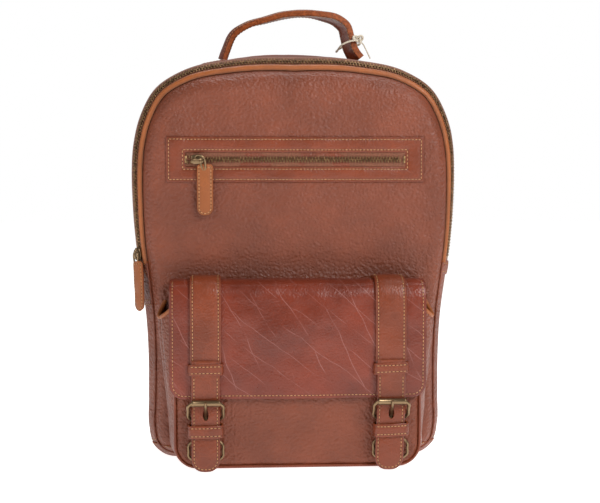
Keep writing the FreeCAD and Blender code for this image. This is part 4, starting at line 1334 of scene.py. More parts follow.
def make_pocket_front():
    def grid_point(u, v):
        """Rows across the pocket from the bottom up, each as wide as the rounded corners allow."""
        z = POCKET_LOW + (POCKET_HIGH - POCKET_LOW) * v ** 1.25
        low = z - POCKET_LOW
        half = POCKET_HALF
        if low < POCKET_RADIUS:
            half += math.sqrt(max(0, POCKET_RADIUS ** 2 - (POCKET_RADIUS - low) ** 2)) - POCKET_RADIUS
        spread = math.sin((u - 0.5) * math.pi) * 0.25 + (u - 0.5) * 2 * 0.75
        x = half * spread
        near = min(half - abs(x), low)
        tuck = 3.6 * max(0, 1 - near / 7) ** 2.2
        return x, pocket_face(x, z) + tuck, z

    # Painted shade along the pocket front's sides and bottom, by the piping.
    def painted_shade(u, v):
        x, y, z = grid_point(u, v)
        return 0.8 * painted_seam_shade(min(POCKET_HALF - abs(x), z - POCKET_LOW), 3)

    front = sheet("pocket_front", 110, 80, grid_point, painted_shade)
    outward_check(front, Vector((0, -1, 0)))
    dress(front, pebbled_cowhide(), burnished_edge())
    thicken(front, 2.2)
    hand_over(front, "bag", "leather", "pocket_front")
    rows = [[(x, POCKET_FACE - 1, POCKET_HIGH - 3) for x in np.linspace(-117, 117, 60)]]
    sew("pocket_front_stitches", surface_of(front), rows, "bag")


def gusset_point(u, v, lift=0.0):
    """The pocket's bellows: v from the front piping back to the bag; it swells where the mouth is open."""
    x, z, out_x, out_z = pocket_edge(u)
    y = -109.6 + v * 37.4
    high = ease(10, 165, z) * abs(out_x)
    flare = (5 + 6 * high) * v * abs(out_x)
    bellows = (2.5 + 8 * high) * math.sin(math.pi * v) ** 0.8 * abs(out_x)
    pleat = -2.2 * math.exp(-((v - 0.45) / 0.07) ** 2) * (0.4 + 0.6 * high) * abs(out_x)
    spread = flare + bellows + pleat + ripple(x, y, z, 22, 1.0, 31) * abs(out_x) + lift
    if z > 120:
        z = 120 + (z - 120) * (mouth_height(v) - 120) / (POCKET_HIGH - 120)
    return x + out_x * spread, y, max(0.3, z + out_z * min(spread, 0.5))


def mouth_height(v):
    """The bellows' open edge dips between the pocket's front and the bag."""
    return 162 - 14 * math.sin(math.pi * v) ** 0.7


def make_gusset():
    # Painted shade along both seams of the bellows and in its middle pleat.
    gusset = sheet("pocket_gusset", 200, 30, gusset_point,
                   lambda u, v: max(painted_seam_shade(v * 37, 2.5), painted_seam_shade((1 - v) * 37, 3), 0.7 * painted_seam_shade((v - 0.45) * 37, 2)))
    pocket_side(gusset)
    dress(gusset, pebbled_cowhide(), burnished_edge())
    thicken(gusset, 1.8)
    hand_over(gusset, "bag", "leather", "pocket_gusset")


def pocket_side(obj):
    middle = Vector((0, -0.09, 0.12))
    total = sum((p.center - middle).dot(p.normal) * p.area for p in obj.data.polygons)
    if total < 0:
        in_edit_mode(obj, (bpy.ops.mesh.flip_normals, {}))


def make_pocket_trim():
    """Piping round the pocket's front and a folded edge round its mouth."""
    turns = np.linspace(0.002, 0.998, 90)
    piping = wire("pocket_piping", [(pocket_edge(t)[0] - pocket_edge(t)[2] * 0.2, -110.6,
                                     max(1.6, pocket_edge(t)[1] - pocket_edge(t)[3] * 0.2)) for t in turns],
                  1.5, fineness=4)
    dress(piping, strap_cowhide())
    hand_over(piping, "bag", "leather_edge", "pocket_piping")
    parts = []
    for end in (0, 1):
        points = [gusset_point(end, v, -0.8) for v in np.linspace(0.0, 1, 12)]
        parts.append(wire("hem", [(x, y, z - 0.6) for x, y, z in points], 2.2, fineness=6))
    top = wire("hem", [(x, pocket_face(x, POCKET_HIGH) + 1.0, POCKET_HIGH) for x in np.linspace(-119, 119, 14)],
               1.5, fineness=6)
    hems = joined("pocket_binding", parts + [top])
    dress(hems, pull_leather())
    hand_over(hems, "bag", "leather_edge", "pocket_binding")


# ---------------------------------------------------------------- the flap, its straps and buckles

FLAP_PATH = [(-71, 179), (-77, 183), (-90, 184.2), (-103, 183.5), (-111.5, 179.8), (-116.4, 172), (-118, 159),
             (-118.8, 135), (-118.6, 100), (-118, 70)]
FLAP_HALF, FLAP_CORNER = 125, 14
STRAP_X = 90


def flap_line(x=0.0, out=0.0, end=70.0):
    """The flap's path from the bag over the top and down, moved outward."""
    path = Line(FLAP_PATH)
    points = []
    for d in np.linspace(0, path.length, 26):
        y, z = path.at(d)
        run, rise = path.direction(d)
        if z >= end - 0.01 or d < 40:
            points.append((x, y + rise * out, z - run * out))
    return Line(points, fineness=4)


class Flap(Ribbon):
    """The flap hangs a little full between its straps."""

    def point(self, distance, across, lift=0.0, inset=0.0):
        spot = super().point(distance, across, lift, inset)
        down = ease(30, 90, distance)
        spot[1] -= down * (0.8 * math.cos(spot[0] / 27) * ease(0, 60, 125 - abs(spot[0])) + 0.7)
        spot[1] += 1.2 * ease(110, 125, abs(spot[0])) * down
        spot[2] += (1 - down) * 0.8 * noise.noise(Vector((spot[0] / 34, 4, 0)))
        return spot + np.array((0, ripple(*spot, 27, 1.0, 17), 0))


def flap_ribbon():
    return Flap(flap_line(), FLAP_HALF, 0, FLAP_CORNER)


def make_flap():
    shape = flap_ribbon()
    flap = leather_strip("pocket_flap", shape, in_mm(sizes().flap_hide), pull_up_cowhide(), groove=3.2, step=2.4,
                         columns=120, full=0.3, crinkle=0.3, seed=3)
    hand_over(flap, "flap", "leather_flap", "pocket_flap")
    sew("flap_stitches", surface_of(flap), stitched_corner(shape, 3.2, 34), "flap")


def stitched_corner(shape, inset, start):
    """Down one side, along the foot and up the other side of a wide piece."""
    down, up = shape.border(inset, start)
    foot = [shape.point(shape.line.length - inset, a, 0, inset) for a in np.linspace(1, -1, 50)]
    return [down, foot, up]


def make_straps():
    thick = in_mm(sizes().strap_hide)
    parts, rows = [], []
    for side in (-1, 1):
        shape = Ribbon(flap_line(side * STRAP_X, thick + 0.3, 92), 15.2)
        strip = leather_strip("strap", shape, thick, strap_cowhide(), groove=2.8, step=2.0, columns=26, full=0.7,
                              crinkle=0.4, seed=side + 5)
        parts.append(strip)
        rows += stitched_border(shape, 2.8, start=2, closed_end=False)
    straps = joined("flap_straps", parts)
    hand_over(straps, "flap", "leather_trim", "flap_straps")
    sew("strap_stitches", surface_of(straps), rows, "flap")


def make_billets():
    """The billets come out from under the straps, lie behind the roller and over the bar, and hang in the keeper."""
    parts, rows = [], []
    for side in (-1, 1):
        lean = 2.5 if side > 0 else 0
        x = side * STRAP_X
        line = Line([(x, -124.6, 108), (x, -125.0, 92), (x, -124.7, 78), (x, -124.4, 66), (x - lean * 0.2, -125.6, 54),
                     (x - lean * 0.5, -125.6, 40), (x - lean * 0.8, -127.2, 20), (x - lean, -126.8, 0.8)])
        shape = Ribbon(line, 13.8, 0, 11.5)
        strip = leather_strip("billet", shape, 2.6, strap_cowhide(), groove=2.6, step=1.5, columns=30, full=0.6,
                              crinkle=0.35, seed=side + 11)
        punch(strip, (x, 56), 2.8, 5.6)
        parts.append(strip)
        rows += stitched_border(shape, 2.6, start=16)
    billets = joined("billets", parts)
    hand_over(billets, "flap", "leather_trim", "billets")
    sew("billet_stitches", surface_of(billets), rows, "flap")


def punch(obj, middle, half_x, half_z):
    """Cuts an oval hole right through a strip that faces the front, with the bar of a cutter."""
    x, z = middle
    bar = new_from(bpy.ops.mesh.primitive_cylinder_add, "cutter", vertices=24, radius=MM, depth=0.02,
                   rotation=(math.pi / 2, 0, 0), location=(x * MM, -0.125, z * MM))
    bar.scale = (half_x, half_z, 1)
    settle(bar)
    dress(bar, burnished_edge())
    with_modifier(obj, "BOOLEAN", object=bar, operation="DIFFERENCE", solver="EXACT")
    discard(bar)


def leather_loop(name, x, z_low, z_high, half, front, back, bow, thick=1.9):
    """A band of leather round a strap, bowed in front, with a row of stitches near each edge."""
    corner = 2.2
    plan = [(-half, back), (-half, (front + back) / 2), (-half + 0.4, front + corner), (-half + corner, front + 0.3),
            (-half / 2, front - bow * 0.75), (0, front - bow), (half / 2, front - bow * 0.75), (half - corner, front + 0.3),
            (half - 0.4, front + corner), (half, (front + back) / 2), (half, back)]
    line = Line(plan, closed=True, fineness=8)
    middle = (z_low + z_high) / 2

    def loop_point(u, v):
        px, py = line.at(u * line.length)
        inside = min(v, 1 - v) * (z_high - z_low)
        swell = -0.3 * math.exp(-((inside - 2.4) / 0.8) ** 2) - 0.5 * max(0, 1 - inside / 1.1) ** 2
        out = 1 + (swell + 0.3) / half
        tip = (px / half) * (0.6 if x > 0 else 0.2)
        return x + px * out, back + (py - back) * out, z_low + v * (z_high - z_low) + tip

    # Painted shade along the stitch grooves of the loop.
    band = sheet(name, 110, 10, loop_point, lambda u, v: 0.5 * painted_seam_shade(min(v, 1 - v) * (z_high - z_low) - 2.4, 1.2))
    weld(band)
    centre = Vector((x, (front + back) / 2, middle)) * MM
    if sum((p.center - centre).dot(p.normal) * p.area for p in band.data.polygons) < 0:
        in_edit_mode(band, (bpy.ops.mesh.flip_normals, {}))
    dress(band, strap_cowhide(), burnished_edge())
    thicken(band, thick)
    soften(band, 0.35)
    rows = [[(x + px, front - bow * (1 - (px / half) ** 2), z + (px / half) * (0.6 if x > 0 else 0.2))
             for px in np.linspace(-half + 2, half - 2, 12)] for z in (z_low + 2.4, z_high - 2.4)]
    return band, rows


def make_loops(name, node, z_low, z_high, half, front, back, bow):
    parts, rows = [], []
    for side in (-1, 1):
        band, stitches = leather_loop("band", side * STRAP_X, z_low, z_high, half, front, back, bow)
        parts.append(band)
        rows += stitches
    bands = joined(name, parts)
    hand_over(bands, "flap", "leather_trim", node)
    sew(name + "_stitches", surface_of(bands), rows, "flap")


BAR, ROLLER = (-117.5, 50), (-129, 68)


def make_buckles():
    """Roller buckles: a bent wire frame, its bar behind the billet and its roller in front."""
    radius = in_mm(sizes().wire) / 2
    frames = []
    for side in (-1, 1):
        x = side * STRAP_X
        half, (bar_y, bar_z), (top_y, top_z) = 18.4 - radius, BAR, ROLLER
        run, rise = top_y - bar_y, top_z - bar_z
        corner = 0.2
        points = []
        for a, b in ((-1, corner), (-1, 1 - corner), (-1 + 0.25, 1), (1 - 0.25, 1), (1, 1 - corner), (1, corner),
                     (1 - 0.25, 0), (-1 + 0.25, 0)):
            points.append((x + a * half, bar_y + run * b, bar_z + rise * b))
        between = []
        for i, here in enumerate(points):
            following = points[(i + 1) % len(points)]
            between += [here, tuple((p + q) / 2 for p, q in zip(here, following))] if i % 2 == 0 else [here]
        frames.append(wire("frame", between, radius, closed=True, sides=4))
        roll = lathe("roller_" + ("right" if side > 0 else "left"),
                     [(-13.4, 2.5), (-13.4, 3.3), (-12.6, 3.5), (-11.6, 3.1), (0, 3.15), (11.6, 3.1), (12.6, 3.5),
                      (13.4, 3.3), (13.4, 2.5)], (x, *ROLLER))
        dress(roll, antique_brass())
        word = "right" if side > 0 else "left"
        hand_over(roll, "roller_" + word[0], "antique_brass", "roller_" + word)
        eye = wire("eye", [(x, bar_y + 3 * math.cos(a), bar_z + 3 * math.sin(a)) for a in
                           np.linspace(0, 2 * math.pi, 8, endpoint=False)], 1.25, closed=True)
        shaft = wire("shaft", [(x, bar_y - 2.6, bar_z + 1.6), (x, -123, 55.8), (x, -128.6, 61), (x, -133.2, 66),
                               (x, -134.9, 69.5)], 1.7, radii=lambda t: 1.05 - 0.35 * t)
        prong = joined("prong_" + word, [shaft, eye])
        dress(prong, antique_brass())
        hand_over(prong, "prong_" + word[0], "antique_brass", "prong_" + word)
    buckles = joined("buckle_frames", frames)
    dress(buckles, antique_brass())
    hand_over(buckles, "flap", "antique_brass", "buckle_frames")


def lathe(name, profile, place, steps=28):
    """A turned piece: a profile of distances along X and radii, spun about its axis."""
    def spun(u, v):
        along, radius = profile[round(v * (len(profile) - 1))]
        angle = u * 2 * math.pi
        return place[0] + along, place[1] + radius * math.cos(angle), place[2] + radius * math.sin(angle)

    solid = sheet(name, steps, len(profile) - 1, spun)
    weld(solid)
    outward(solid)
    with_modifier(solid, "SOLIDIFY", thickness=0.35 * MM, offset=-1)
    return solid


def make_rings():
    """Square rings and press studs at the foot, on short tabs below the buckle bars."""
    tabs, studs = [], []
    for side in (-1, 1):
        x = side * STRAP_X
        word = "right" if side > 0 else "left"
        half, low, high = 16.5, 11.5, 28
        square = [(x - half + 3, low), (x, low), (x + half - 3, low), (x + half, low + 3), (x + half, (low + high) / 2),
                  (x + half, high - 3), (x + half - 3, high), (x, high), (x - half + 3, high), (x - half, high - 3),
                  (x - half, (low + high) / 2), (x - half, low + 3)]
        ring = wire("tab_ring_" + word, [(a, -117.5, b) for a, b in square], 1.5, closed=True)
        dress(ring, antique_brass())
        hand_over(ring, "ring_" + word[0], "antique_brass", "tab_ring_" + word)
        shape = Ribbon(Line([(x, -120.2, 51), (x, -119.8, 40), (x, -119.9, 30), (x, -120.1, 26)]), 13.5, 2, 2)
        tab = leather_strip("tab", shape, 3.4, strap_cowhide(), groove=2.4, step=1.6, columns=18, full=0.3)
        tabs.append(tab)
        stud = lathe("stud", [(0, 0.05), (0, 2.6), (0.7, 3.9), (1.9, 4.2), (2.4, 3.2), (3.0, 2.9), (9.4, 2.9), (9.4, 0.05)],
                     (0, 0, 0))
        stud.data.transform(Matrix.Translation(Vector((x, -121.4, 19.5)) * MM) @ Matrix.Rotation(math.pi / 2, 4, "Z"))
        studs.append(stud)
    lower = joined("lower_tabs", tabs)
    hand_over(lower, "flap", "leather_trim", "lower_tabs")
    pins = joined("ring_studs", studs)
    dress(pins, antique_brass())
    hand_over(pins, "bag", "antique_brass", "ring_studs")


# ---------------------------------------------------------------- carrying handle and its string

HANDLE_PATH = [(-74, 410.2), (-70.5, 420), (-61, 438.5), (-46, 448), (-26, 454), (-4, 459.5), (14, 461), (35, 458.5),
               (53, 452.5), (61, 445), (64.3, 434), (67.5, 422), (71, 415.5), (75, 410.4)]


class Handle(Ribbon):
    """The handle lies flat at its feet and turns its inner side to the front on the way down on the right."""

    def side_at(self, distance):
        share = distance / self.line.length
        angle = math.radians(-24 * ease(0.55, 0.85, share) + 10 * ease(0.45, 0.1, share))
        ahead = self.line.direction(distance)
        flat = np.array((0, 1.0, 0))
        up = np.cross(ahead, flat)
        return flat * math.cos(angle) + up * math.sin(angle)


def make_handle():
    line = Line([(x, 35, z) for x, z in HANDLE_PATH])
    shape = Handle(line, 11, 0, 0, (0, 1, 0), lambda t: 1.5 * ease(0.2, 0, t) + 1.5 * ease(0.8, 1, t))
    band = leather_strip("handle", shape, 6.2, strap_cowhide(), groove=2.8, step=2.2, columns=24, full=1.4, crinkle=0.4,
                         seed=23)
    rows = []
    for across in (-1, 1):
        rows.append([shape.point(d, across, 1, 2.8) for d in np.linspace(4, line.length - 4, 90)])
        rows.append([shape.point(d, across, -7, 2.8) for d in np.linspace(8, line.length - 8, 90)])
    hand_over(band, "carry_handle", "leather_trim", "handle")
    stitches = sew("handle_stitches", surface_of(band), rows, "carry_handle")
    for piece in (band, stitches):
        spread(piece, "bag", "carry_handle", (0, 35, 412.5), (0, 35, 424))


def make_handle_feet():
    """The sewn patches that the handle's ends are stitched under."""
    parts, rows, inset = [], [], 2.4
    for side in (-1, 1):
        line_points = []
        for x in (59, 66, 73, 80, 86):
            s = around_at(side, float(np.interp(x, [0, 66, 114], [411, 406.5, 394.6])))
            px, pz = inside_of(s, -1.6)
            line_points.append((px, 35, pz))
        foot = Ribbon(Line(line_points), 19, 3, 3, (0, side, 0))
        patch = leather_strip("foot", foot, 1.6, strap_cowhide(), groove=2.4, step=1.5, columns=26, full=0.2)
        parts.append(patch)
        rows += stitched_border(foot, inset)
        rows.append([foot.point(inset, a, 0, inset) for a in np.linspace(-1, 1, 20)])
        rows.append([foot.point(foot.line.length - inset, a, 0, inset) for a in np.linspace(-1, 1, 20)])
    feet = joined("handle_feet", parts)
    hand_over(feet, "bag", "leather_trim", "handle_feet")
    sew("handle_feet_stitches", surface_of(feet), rows, "bag")


def make_string():
    """A loop of twine round the handle's leg, tied in a knot with a short end left over."""
    loop = wire("tag_loop", [(64, 20.4, 428), (55, 21.5, 424), (50.6, 30, 418), (53, 44.5, 421), (62, 48.5, 426),
                             (71, 44, 429), (74.5, 34, 430), (71, 22, 429)], 1.0, closed=True)
    turns = np.linspace(0, 2 * math.pi, 22, endpoint=False)
    tangle = wire("tag_knot", [(72.5 + 2.6 * (math.sin(t) + 2 * math.sin(2 * t)) * 0.7, 24 + 2.6 * math.sin(3 * t) * 0.9,
                                430 + 2.4 * (math.cos(t) - 2 * math.cos(2 * t)) * 0.75) for t in turns], 1.35, closed=True)
    end = wire("end", [(73.5, 23.5, 428.5), (77, 22.5, 426), (80, 22.3, 421), (83, 22.5, 415), (85.5, 23, 410)], 0.7)
    knot = joined("tag_knot", [tangle, end])
    for piece, node in ((loop, "tag_loop"), (knot, "tag_knot")):
        dress(piece, cotton_twine())
        hand_over(piece, "carry_handle", "string", node)


# ---------------------------------------------------------------- shoulder straps

ANCHOR_X, ANCHOR_Y, ANCHOR_Z, SLANT = 115, 60.5, 25, math.radians(11)
PAD_PATH = [(3.5, 352), (14, 338), (27, 317), (39, 291), (47, 262), (50.5, 236), (50, 208), (49.5, 180)]
EYE_Y, EYE_Z = 49.5, 159
RUN = np.array((-0.265, -0.9643))


def slanted(side, x, y, z):
    """A point of an upright strap, set on its slanted line on one side of the back."""
    turn = -side * SLANT
    return (side * ANCHOR_X + x * math.cos(turn) + z * math.sin(turn), ANCHOR_Y + y,
            ANCHOR_Z - x * math.sin(turn) + z * math.cos(turn))


def slanted_side(side):
    turn = -side * SLANT
    return -math.cos(turn), 0, math.sin(turn)


def web_spot(side, along, out, x=0.0):
    """A point along the lower strap, and out from it."""
    y = EYE_Y + RUN[0] * along - RUN[1] * out
    z = EYE_Z + RUN[1] * along + RUN[0] * out
    return slanted(side, x, y, z)


def pad_spread(t):
    """How much wider the pad is than its narrow top, from the top to its tongue."""
    return 9 * ease(0, 0.3, t) - 14 * ease(0.82, 0.97, t)


def make_shoulder_pads():
    """Padded straps: the hide is filled by cloth pressure, then drawn in along its stitches."""
    for side, word in ((-1, "left"), (1, "right")):
        line = Line([slanted(side, 0, y, z) for y, z in PAD_PATH])
        shape = Ribbon(line, 20, 2, 6, slanted_side(side), pad_spread)
        pad = leather_strip("shoulder_pad_" + word, shape, 7.0, strap_cowhide(), groove=0, step=4, columns=16, full=0.0,
                            crinkle=0.0)
        move = Vector(shape.normal(line.length / 2)) * 3.0 * MM
        pad.data.transform(Matrix.Translation(move))
        inflate(pad)
        draw_in(pad, shape, 4.5)
        dress(pad, strap_cowhide())
        hand_over(pad, "strap_" + word[0], "leather_trim", "shoulder_pad_" + word)
        rows = []
        for across in (-1, 1):
            for lift in (5, -5):
                rows.append([shape.point(d, across, lift, 4.5) for d in np.linspace(6, line.length - 6, 70)])
        stitches = sew("shoulder_pad_stitches_" + word, surface_of(pad), rows, "strap_" + word[0])
        for piece in (pad, stitches):
            spread(piece, "bag", "strap_" + word[0], slanted(side, 0, 3.5, 350), slanted(side, 0, 14, 300))


def inflate(pad):
    """Fills a closed pad by cloth pressure and keeps each point within a short way of where it was."""
    with_modifier(pad, "REMESH", mode="VOXEL", voxel_size=0.0045)
    rest = np.array([v.co for v in pad.data.vertices])
    select_only(pad)
    cloth = pad.modifiers.new("cloth", "CLOTH")
    cloth.settings.quality = 5
    cloth.settings.mass = 0.3
    cloth.settings.tension_stiffness = 40
    cloth.settings.use_pressure = True
    cloth.settings.uniform_pressure_force = 4
    cloth.settings.effector_weights.gravity = 0
    cloth.collision_settings.use_collision = False
    for step in range(1, 21):
        bpy.context.scene.frame_set(step)
    bpy.ops.object.modifier_apply(modifier=cloth.name)
    bpy.context.scene.frame_set(1)
    moved = np.array([v.co for v in pad.data.vertices]) - rest
    far = np.linalg.norm(moved, axis=1)
    limit = 3.5 * MM
    moved *= np.minimum(1, limit / np.maximum(far, 1e-9))[:, None]
    pad.data.vertices.foreach_set("co", (rest + moved).ravel())
    pad.data.update()
    subdivide(pad)


def draw_in(pad, shape, inset):
    """Pulls the hide in along its two rows of stitches, and paints shade into the drawn-in lines."""
    samples = [(shape.line.at(d), shape.side_at(d), shape.normal(d), shape.half_at(d, inset)) for d in
               np.linspace(0, shape.line.length, 160)]
    places = np.array([s[0] for s in samples])
    depth = []
    for vertex in pad.data.vertices:
        spot = np.array(vertex.co) / MM
        place, sideways, normal, half = samples[int(np.argmin(np.linalg.norm(places - spot, axis=1)))]
        across, out = float((spot - place) @ sideways), float((spot - place) @ normal)
        near = math.exp(-((abs(across) - half) / 1.8) ** 2)
        spot = spot - normal * out * 0.42 * near
        spot = spot + normal * ripple(*spot, 15, 0.5, 41)
        vertex.co = Vector(spot) * MM
        # Painted shade where the stitches draw the hide in.
        depth.append(near * 0.6)
    attribute = pad.data.attributes.get("seam") or pad.data.attributes.new("seam", "FLOAT", "POINT")
    attribute.data.foreach_set("value", depth)


def make_strap_webs():
    for side, word in ((-1, "left"), (1, "right")):
        body = "strap_" + word[0]
        ring_half = 19
        points = []
        for x, z in ((-1, 0.2), (-1, 0.8), (-0.85, 1), (0, 1), (0.85, 1), (1, 0.8), (1, 0.2), (0.85, 0), (0, 0), (-0.85, 0)):
            points.append(slanted(side, x * ring_half, EYE_Y, EYE_Z + 16 * z))
        ring = wire("pad_ring_" + word, points, 1.7, closed=True)
        dress(ring, antique_brass())
        hand_over(ring, body, "antique_brass", "pad_ring_" + word)
        fold = [(24, -2.6), (10, -3.0), (2, -3.4), (-3, -2.2), (-4, 0.6), (-2, 3.0), (4, 2.6), (14, 1.7), (34, 1.4), (60, 1.3),
                (100, 1.4), (140, 1.4), (151, 1.4)]
        line = Line([web_spot(side, along, out) for along, out in fold], fineness=8)
        shape = Ribbon(line, 13, 0, 0, slanted_side(side))
        web = leather_strip("lower_strap_" + word, shape, 2.4, strap_cowhide(), groove=2.6, step=1.8, columns=20, full=0.2)
        hand_over(web, body, "leather_trim", "lower_strap_" + word)
        rows = [[shape.point(d, across, 0, 2.6) for d in np.linspace(36, line.length - 3, 90)] for across in (-1, 1)]
        rows.append([web_spot(side, 22, 1.6, x) for x in np.linspace(-10, 10, 12)])
        sew("lower_strap_stitches_" + word, surface_of(web), rows, body)
        glide = []
        for low_end, high_end in ((30, 41), (41, 52)):
            square = [(-14, low_end), (0, low_end), (14, low_end), (16, (low_end + high_end) / 2), (14, high_end),
                      (0, high_end), (-14, high_end), (-16, (low_end + high_end) / 2)]
            level = {30: 3.2, 52: 3.2, 41: -1.9}
            glide.append(wire("glide", [web_spot(side, a, level.get(a, 1.2), x) for x, a in square], 1.5, closed=True))
        adjuster = joined("strap_adjuster_" + word, glide)
        dress(adjuster, antique_brass())
        hand_over(adjuster, "adjuster_" + word[0], "antique_brass", "strap_adjuster_" + word)


def make_anchors():
    for name, half, low, high in (("strap_top_anchors", 20, 351, 374), ("strap_bottom_anchors", 16, -15, 6)):
        parts, rows = [], []
        for side in (-1, 1):
            line = Line([slanted(side, 0, 4.2, z) for z in np.linspace(high, low, 4)])
            shape = Ribbon(line, half, 3, 3, slanted_side(side))
            patch = leather_strip("patch", shape, 3.6, strap_cowhide(), groove=2.6, step=1.6, columns=24, full=0.3)
            parts.append(patch)
            rows += stitched_border(shape, 2.6)
            rows.append([shape.point(2.6, a, 0, 2.6) for a in np.linspace(-1, 1, 16)])
            rows.append([shape.point(line.length - 2.6, a, 0, 2.6) for a in np.linspace(-1, 1, 16)])
            for a in (-1, 1):
                rows.append([shape.point(3 + t * (line.length - 6), a * (2 * t - 1), 0, 3) for t in np.linspace(0, 1, 16)])
        anchors = joined(name, parts)
        hand_over(anchors, "bag", "leather_trim", name)
        sew(name + "_stitches", surface_of(anchors), rows, "bag")


# ---------------------------------------------------------------- inside, and the stage

def dress_inside():
    """The parts inside keep their shape and get their cloth and board."""
    finishes = {"laptop_sleeve": cotton_lining, "front_zip_pouch": cotton_lining, "base_board": fibreboard}
    for node, finish in finishes.items():
        mesh = frame["nodes"][node].data
        mesh.materials.clear()
        mesh.materials.append(finish())


def area_light(name, place, target, size, power, colour="#ffffff"):
    data = bpy.data.lights.new(name, "AREA")
    data.shape = "RECTANGLE"
    data.size, data.size_y = size
    data.energy = power
    data.color = linear(colour)
    light = bpy.data.objects.new(name, data)
    light.location = place
    light.rotation_euler = (Vector(target) - Vector(place)).to_track_quat("-Z", "Y").to_euler()
    bpy.context.scene.collection.objects.link(light)


def make_stage():
    """A pale floor, soft studio light from above and both sides, and a camera in front, a little below the top."""
    scene = bpy.context.scene
    floor = new_from(bpy.ops.mesh.primitive_plane_add, "floor", size=12)
    material, tree, shader = new_material("matt white paint", Roughness=0.8, Emission_Strength=0.85)
    shader.inputs["Base Color"].default_value = rgba(linear("#fbfaf8"))
    shader.inputs["Emission Color"].default_value = (1, 1, 1, 1)
    dress(floor, material)
    world = bpy.data.worlds.new("studio")
    world.use_nodes = True
    world.node_tree.nodes["Background"].inputs["Color"].default_value = (1, 1, 1, 1)
    world.node_tree.nodes["Background"].inputs["Strength"].default_value = 0.22
    paths = add_node(world.node_tree, "ShaderNodeLightPath")
    seen = add_node(world.node_tree, "ShaderNodeBackground", {"Color": (1, 1, 1, 1), "Strength": 1.0})
    choice = add_node(world.node_tree, "ShaderNodeMixShader", {
        0: paths.outputs["Is Camera Ray"], 1: world.node_tree.nodes["Background"].outputs[0], 2: seen.outputs[0]})
    world.node_tree.links.new(choice.outputs[0], world.node_tree.nodes["World Output"].inputs["Surface"])
    scene.world = world
    area_light("key", (1.0, -1.3, 1.3), (0, 0, 0.25), (0.9, 0.8), 27)
    area_light("fill", (-1.4, -1.1, 0.9), (0, 0, 0.2), (0.8, 1.0), 8)
    area_light("top", (0.1, 0.4, 1.6), (0, 0, 0.3), (1.2, 0.6), 10)
    camera = bpy.data.objects.new("camera", bpy.data.cameras.new("camera"))
    camera.data.sensor_width = 36
    camera.data.lens = 80.6
    camera.location = (-0.0822, -1.4097, 0.2919)
    camera.rotation_euler = Vector((0.0645, 0.996, -0.0608)).to_track_quat("-Z", "Y").to_euler()
    scene.collection.objects.link(camera)
    scene.camera = camera
    scene.view_settings.view_transform = "Standard"


# ---------------------------------------------------------------- operators, panel and registration

class Making:
    """What every operator of the backpack shares."""

    bl_options = {"REGISTER", "UNDO"}
    steps = ()

    def execute(self, context):
        for step in self.steps:
            step()
        return {"FINISHED"}


class BACKPACK_OT_shell(Making, bpy.types.Operator):
    """Makes the front panel, side band, base tray, back panel and the seam between them"""

    bl_idname = "backpack.shell"
    bl_label = "Bag Shell"
    steps = (make_front_panel, make_side_band, make_base, make_back, make_lower_binding, make_lining, make_back_pad)


class BACKPACK_OT_main_zip(Making, bpy.types.Operator):
    """Makes the zip that goes over the top: its roll, tapes, teeth, end tabs, slider and pull"""

    bl_idname = "backpack.main_zip"
    bl_label = "Main Zip"
    steps = (make_zip_tapes, make_chain, make_end_tabs, make_main_pull)


class BACKPACK_OT_front_zip(Making, bpy.types.Operator):
    """Makes the framed zip in the front panel with its slider and pull"""

    bl_idname = "backpack.front_zip"
    bl_label = "Front Zip"
    steps = (make_zip_frame, make_front_zip, make_front_pull)


class BACKPACK_OT_pocket(Making, bpy.types.Operator):
    """Makes the flap pocket: front, bellows, piping and bound mouth"""

    bl_idname = "backpack.pocket"
    bl_label = "Pocket"
    steps = (make_pocket_front, make_gusset, make_pocket_trim)


def make_bands():
    make_loops("strap_bands", "strap_bands", 94, 105, 16.8, -125.2, -119, 0.8)


def make_keepers():
    make_loops("keepers", "keepers", 33.5, 46, 16.8, -128.0, -115, 1.6)


class BACKPACK_OT_flap(Making, bpy.types.Operator):
    """Makes the flap with its straps, cross bands, billets and keepers"""

    bl_idname = "backpack.flap"
    bl_label = "Flap and Straps"
    steps = (make_flap, make_straps, make_bands, make_billets, make_keepers)


class BACKPACK_OT_buckles(Making, bpy.types.Operator):
    """Makes the roller buckles, square rings, tabs and studs"""

    bl_idname = "backpack.buckles"
    bl_label = "Buckles"
    steps = (make_buckles, make_rings)


class BACKPACK_OT_handle(Making, bpy.types.Operator):
    """Makes the carrying handle, its sewn feet and the string on it"""

    bl_idname = "backpack.handle"
    bl_label = "Carrying Handle"
    steps = (make_handle, make_handle_feet, make_string)


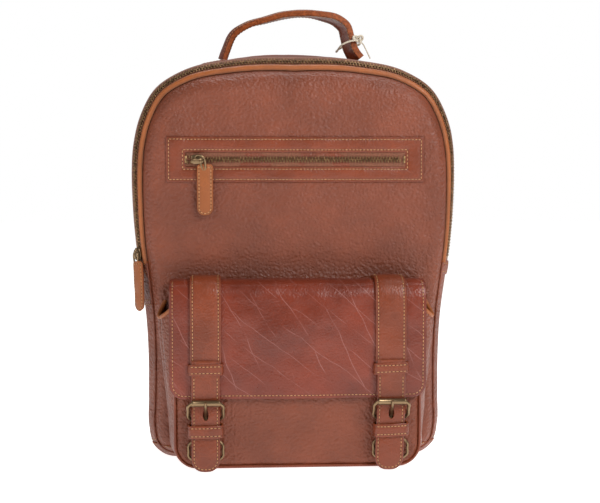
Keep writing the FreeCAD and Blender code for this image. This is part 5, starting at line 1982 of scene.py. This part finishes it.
class BACKPACK_OT_shoulder_straps(Making, bpy.types.Operator):
    """Makes the padded shoulder straps with their rings, lower straps, adjusters and patches"""

    bl_idname = "backpack.shoulder_straps"
    bl_label = "Shoulder Straps"
    steps = (make_shoulder_pads, make_strap_webs, make_anchors)


class BACKPACK_OT_inside(Making, bpy.types.Operator):
    """Gives the sleeve, pouch and base board their finish"""

    bl_idname = "backpack.inside"
    bl_label = "Inside"
    steps = (dress_inside,)


class BACKPACK_OT_stage(Making, bpy.types.Operator):
    """Makes the floor, the lights and the camera"""

    bl_idname = "backpack.stage"
    bl_label = "Stage"
    steps = (make_stage,)


OPERATORS = (BACKPACK_OT_stage, BACKPACK_OT_shell, BACKPACK_OT_main_zip, BACKPACK_OT_front_zip, BACKPACK_OT_pocket,
             BACKPACK_OT_flap, BACKPACK_OT_buckles, BACKPACK_OT_handle, BACKPACK_OT_shoulder_straps,
             BACKPACK_OT_inside)


class BACKPACK_PT_panel(bpy.types.Panel):
    """Lists the backpack's sizes, colours and pieces"""

    bl_label = "Leather Backpack"
    bl_idname = "BACKPACK_PT_panel"
    bl_space_type = "VIEW_3D"
    bl_region_type = "UI"
    bl_category = "Backpack"

    def draw(self, context):
        for group in (context.scene.backpack_sizes, context.scene.backpack_colours):
            for name in group.__annotations__:
                self.layout.prop(group, name)
        for operator in OPERATORS:
            self.layout.operator(operator.bl_idname)


CLASSES = (BackpackSizes, BackpackColours, *OPERATORS, BACKPACK_PT_panel)


def register():
    for cls in CLASSES:
        bpy.utils.register_class(cls)
    bpy.types.Scene.backpack_sizes = PointerProperty(type=BackpackSizes)
    bpy.types.Scene.backpack_colours = PointerProperty(type=BackpackColours)


def unregister():
    del bpy.types.Scene.backpack_colours
    del bpy.types.Scene.backpack_sizes
    for cls in reversed(CLASSES):
        bpy.utils.unregister_class(cls)


def main():
    register()
    for operator in OPERATORS:
        module, name = operator.bl_idname.split(".")
        getattr(getattr(bpy.ops, module), name)()


if __name__ == "__main__":
    main()
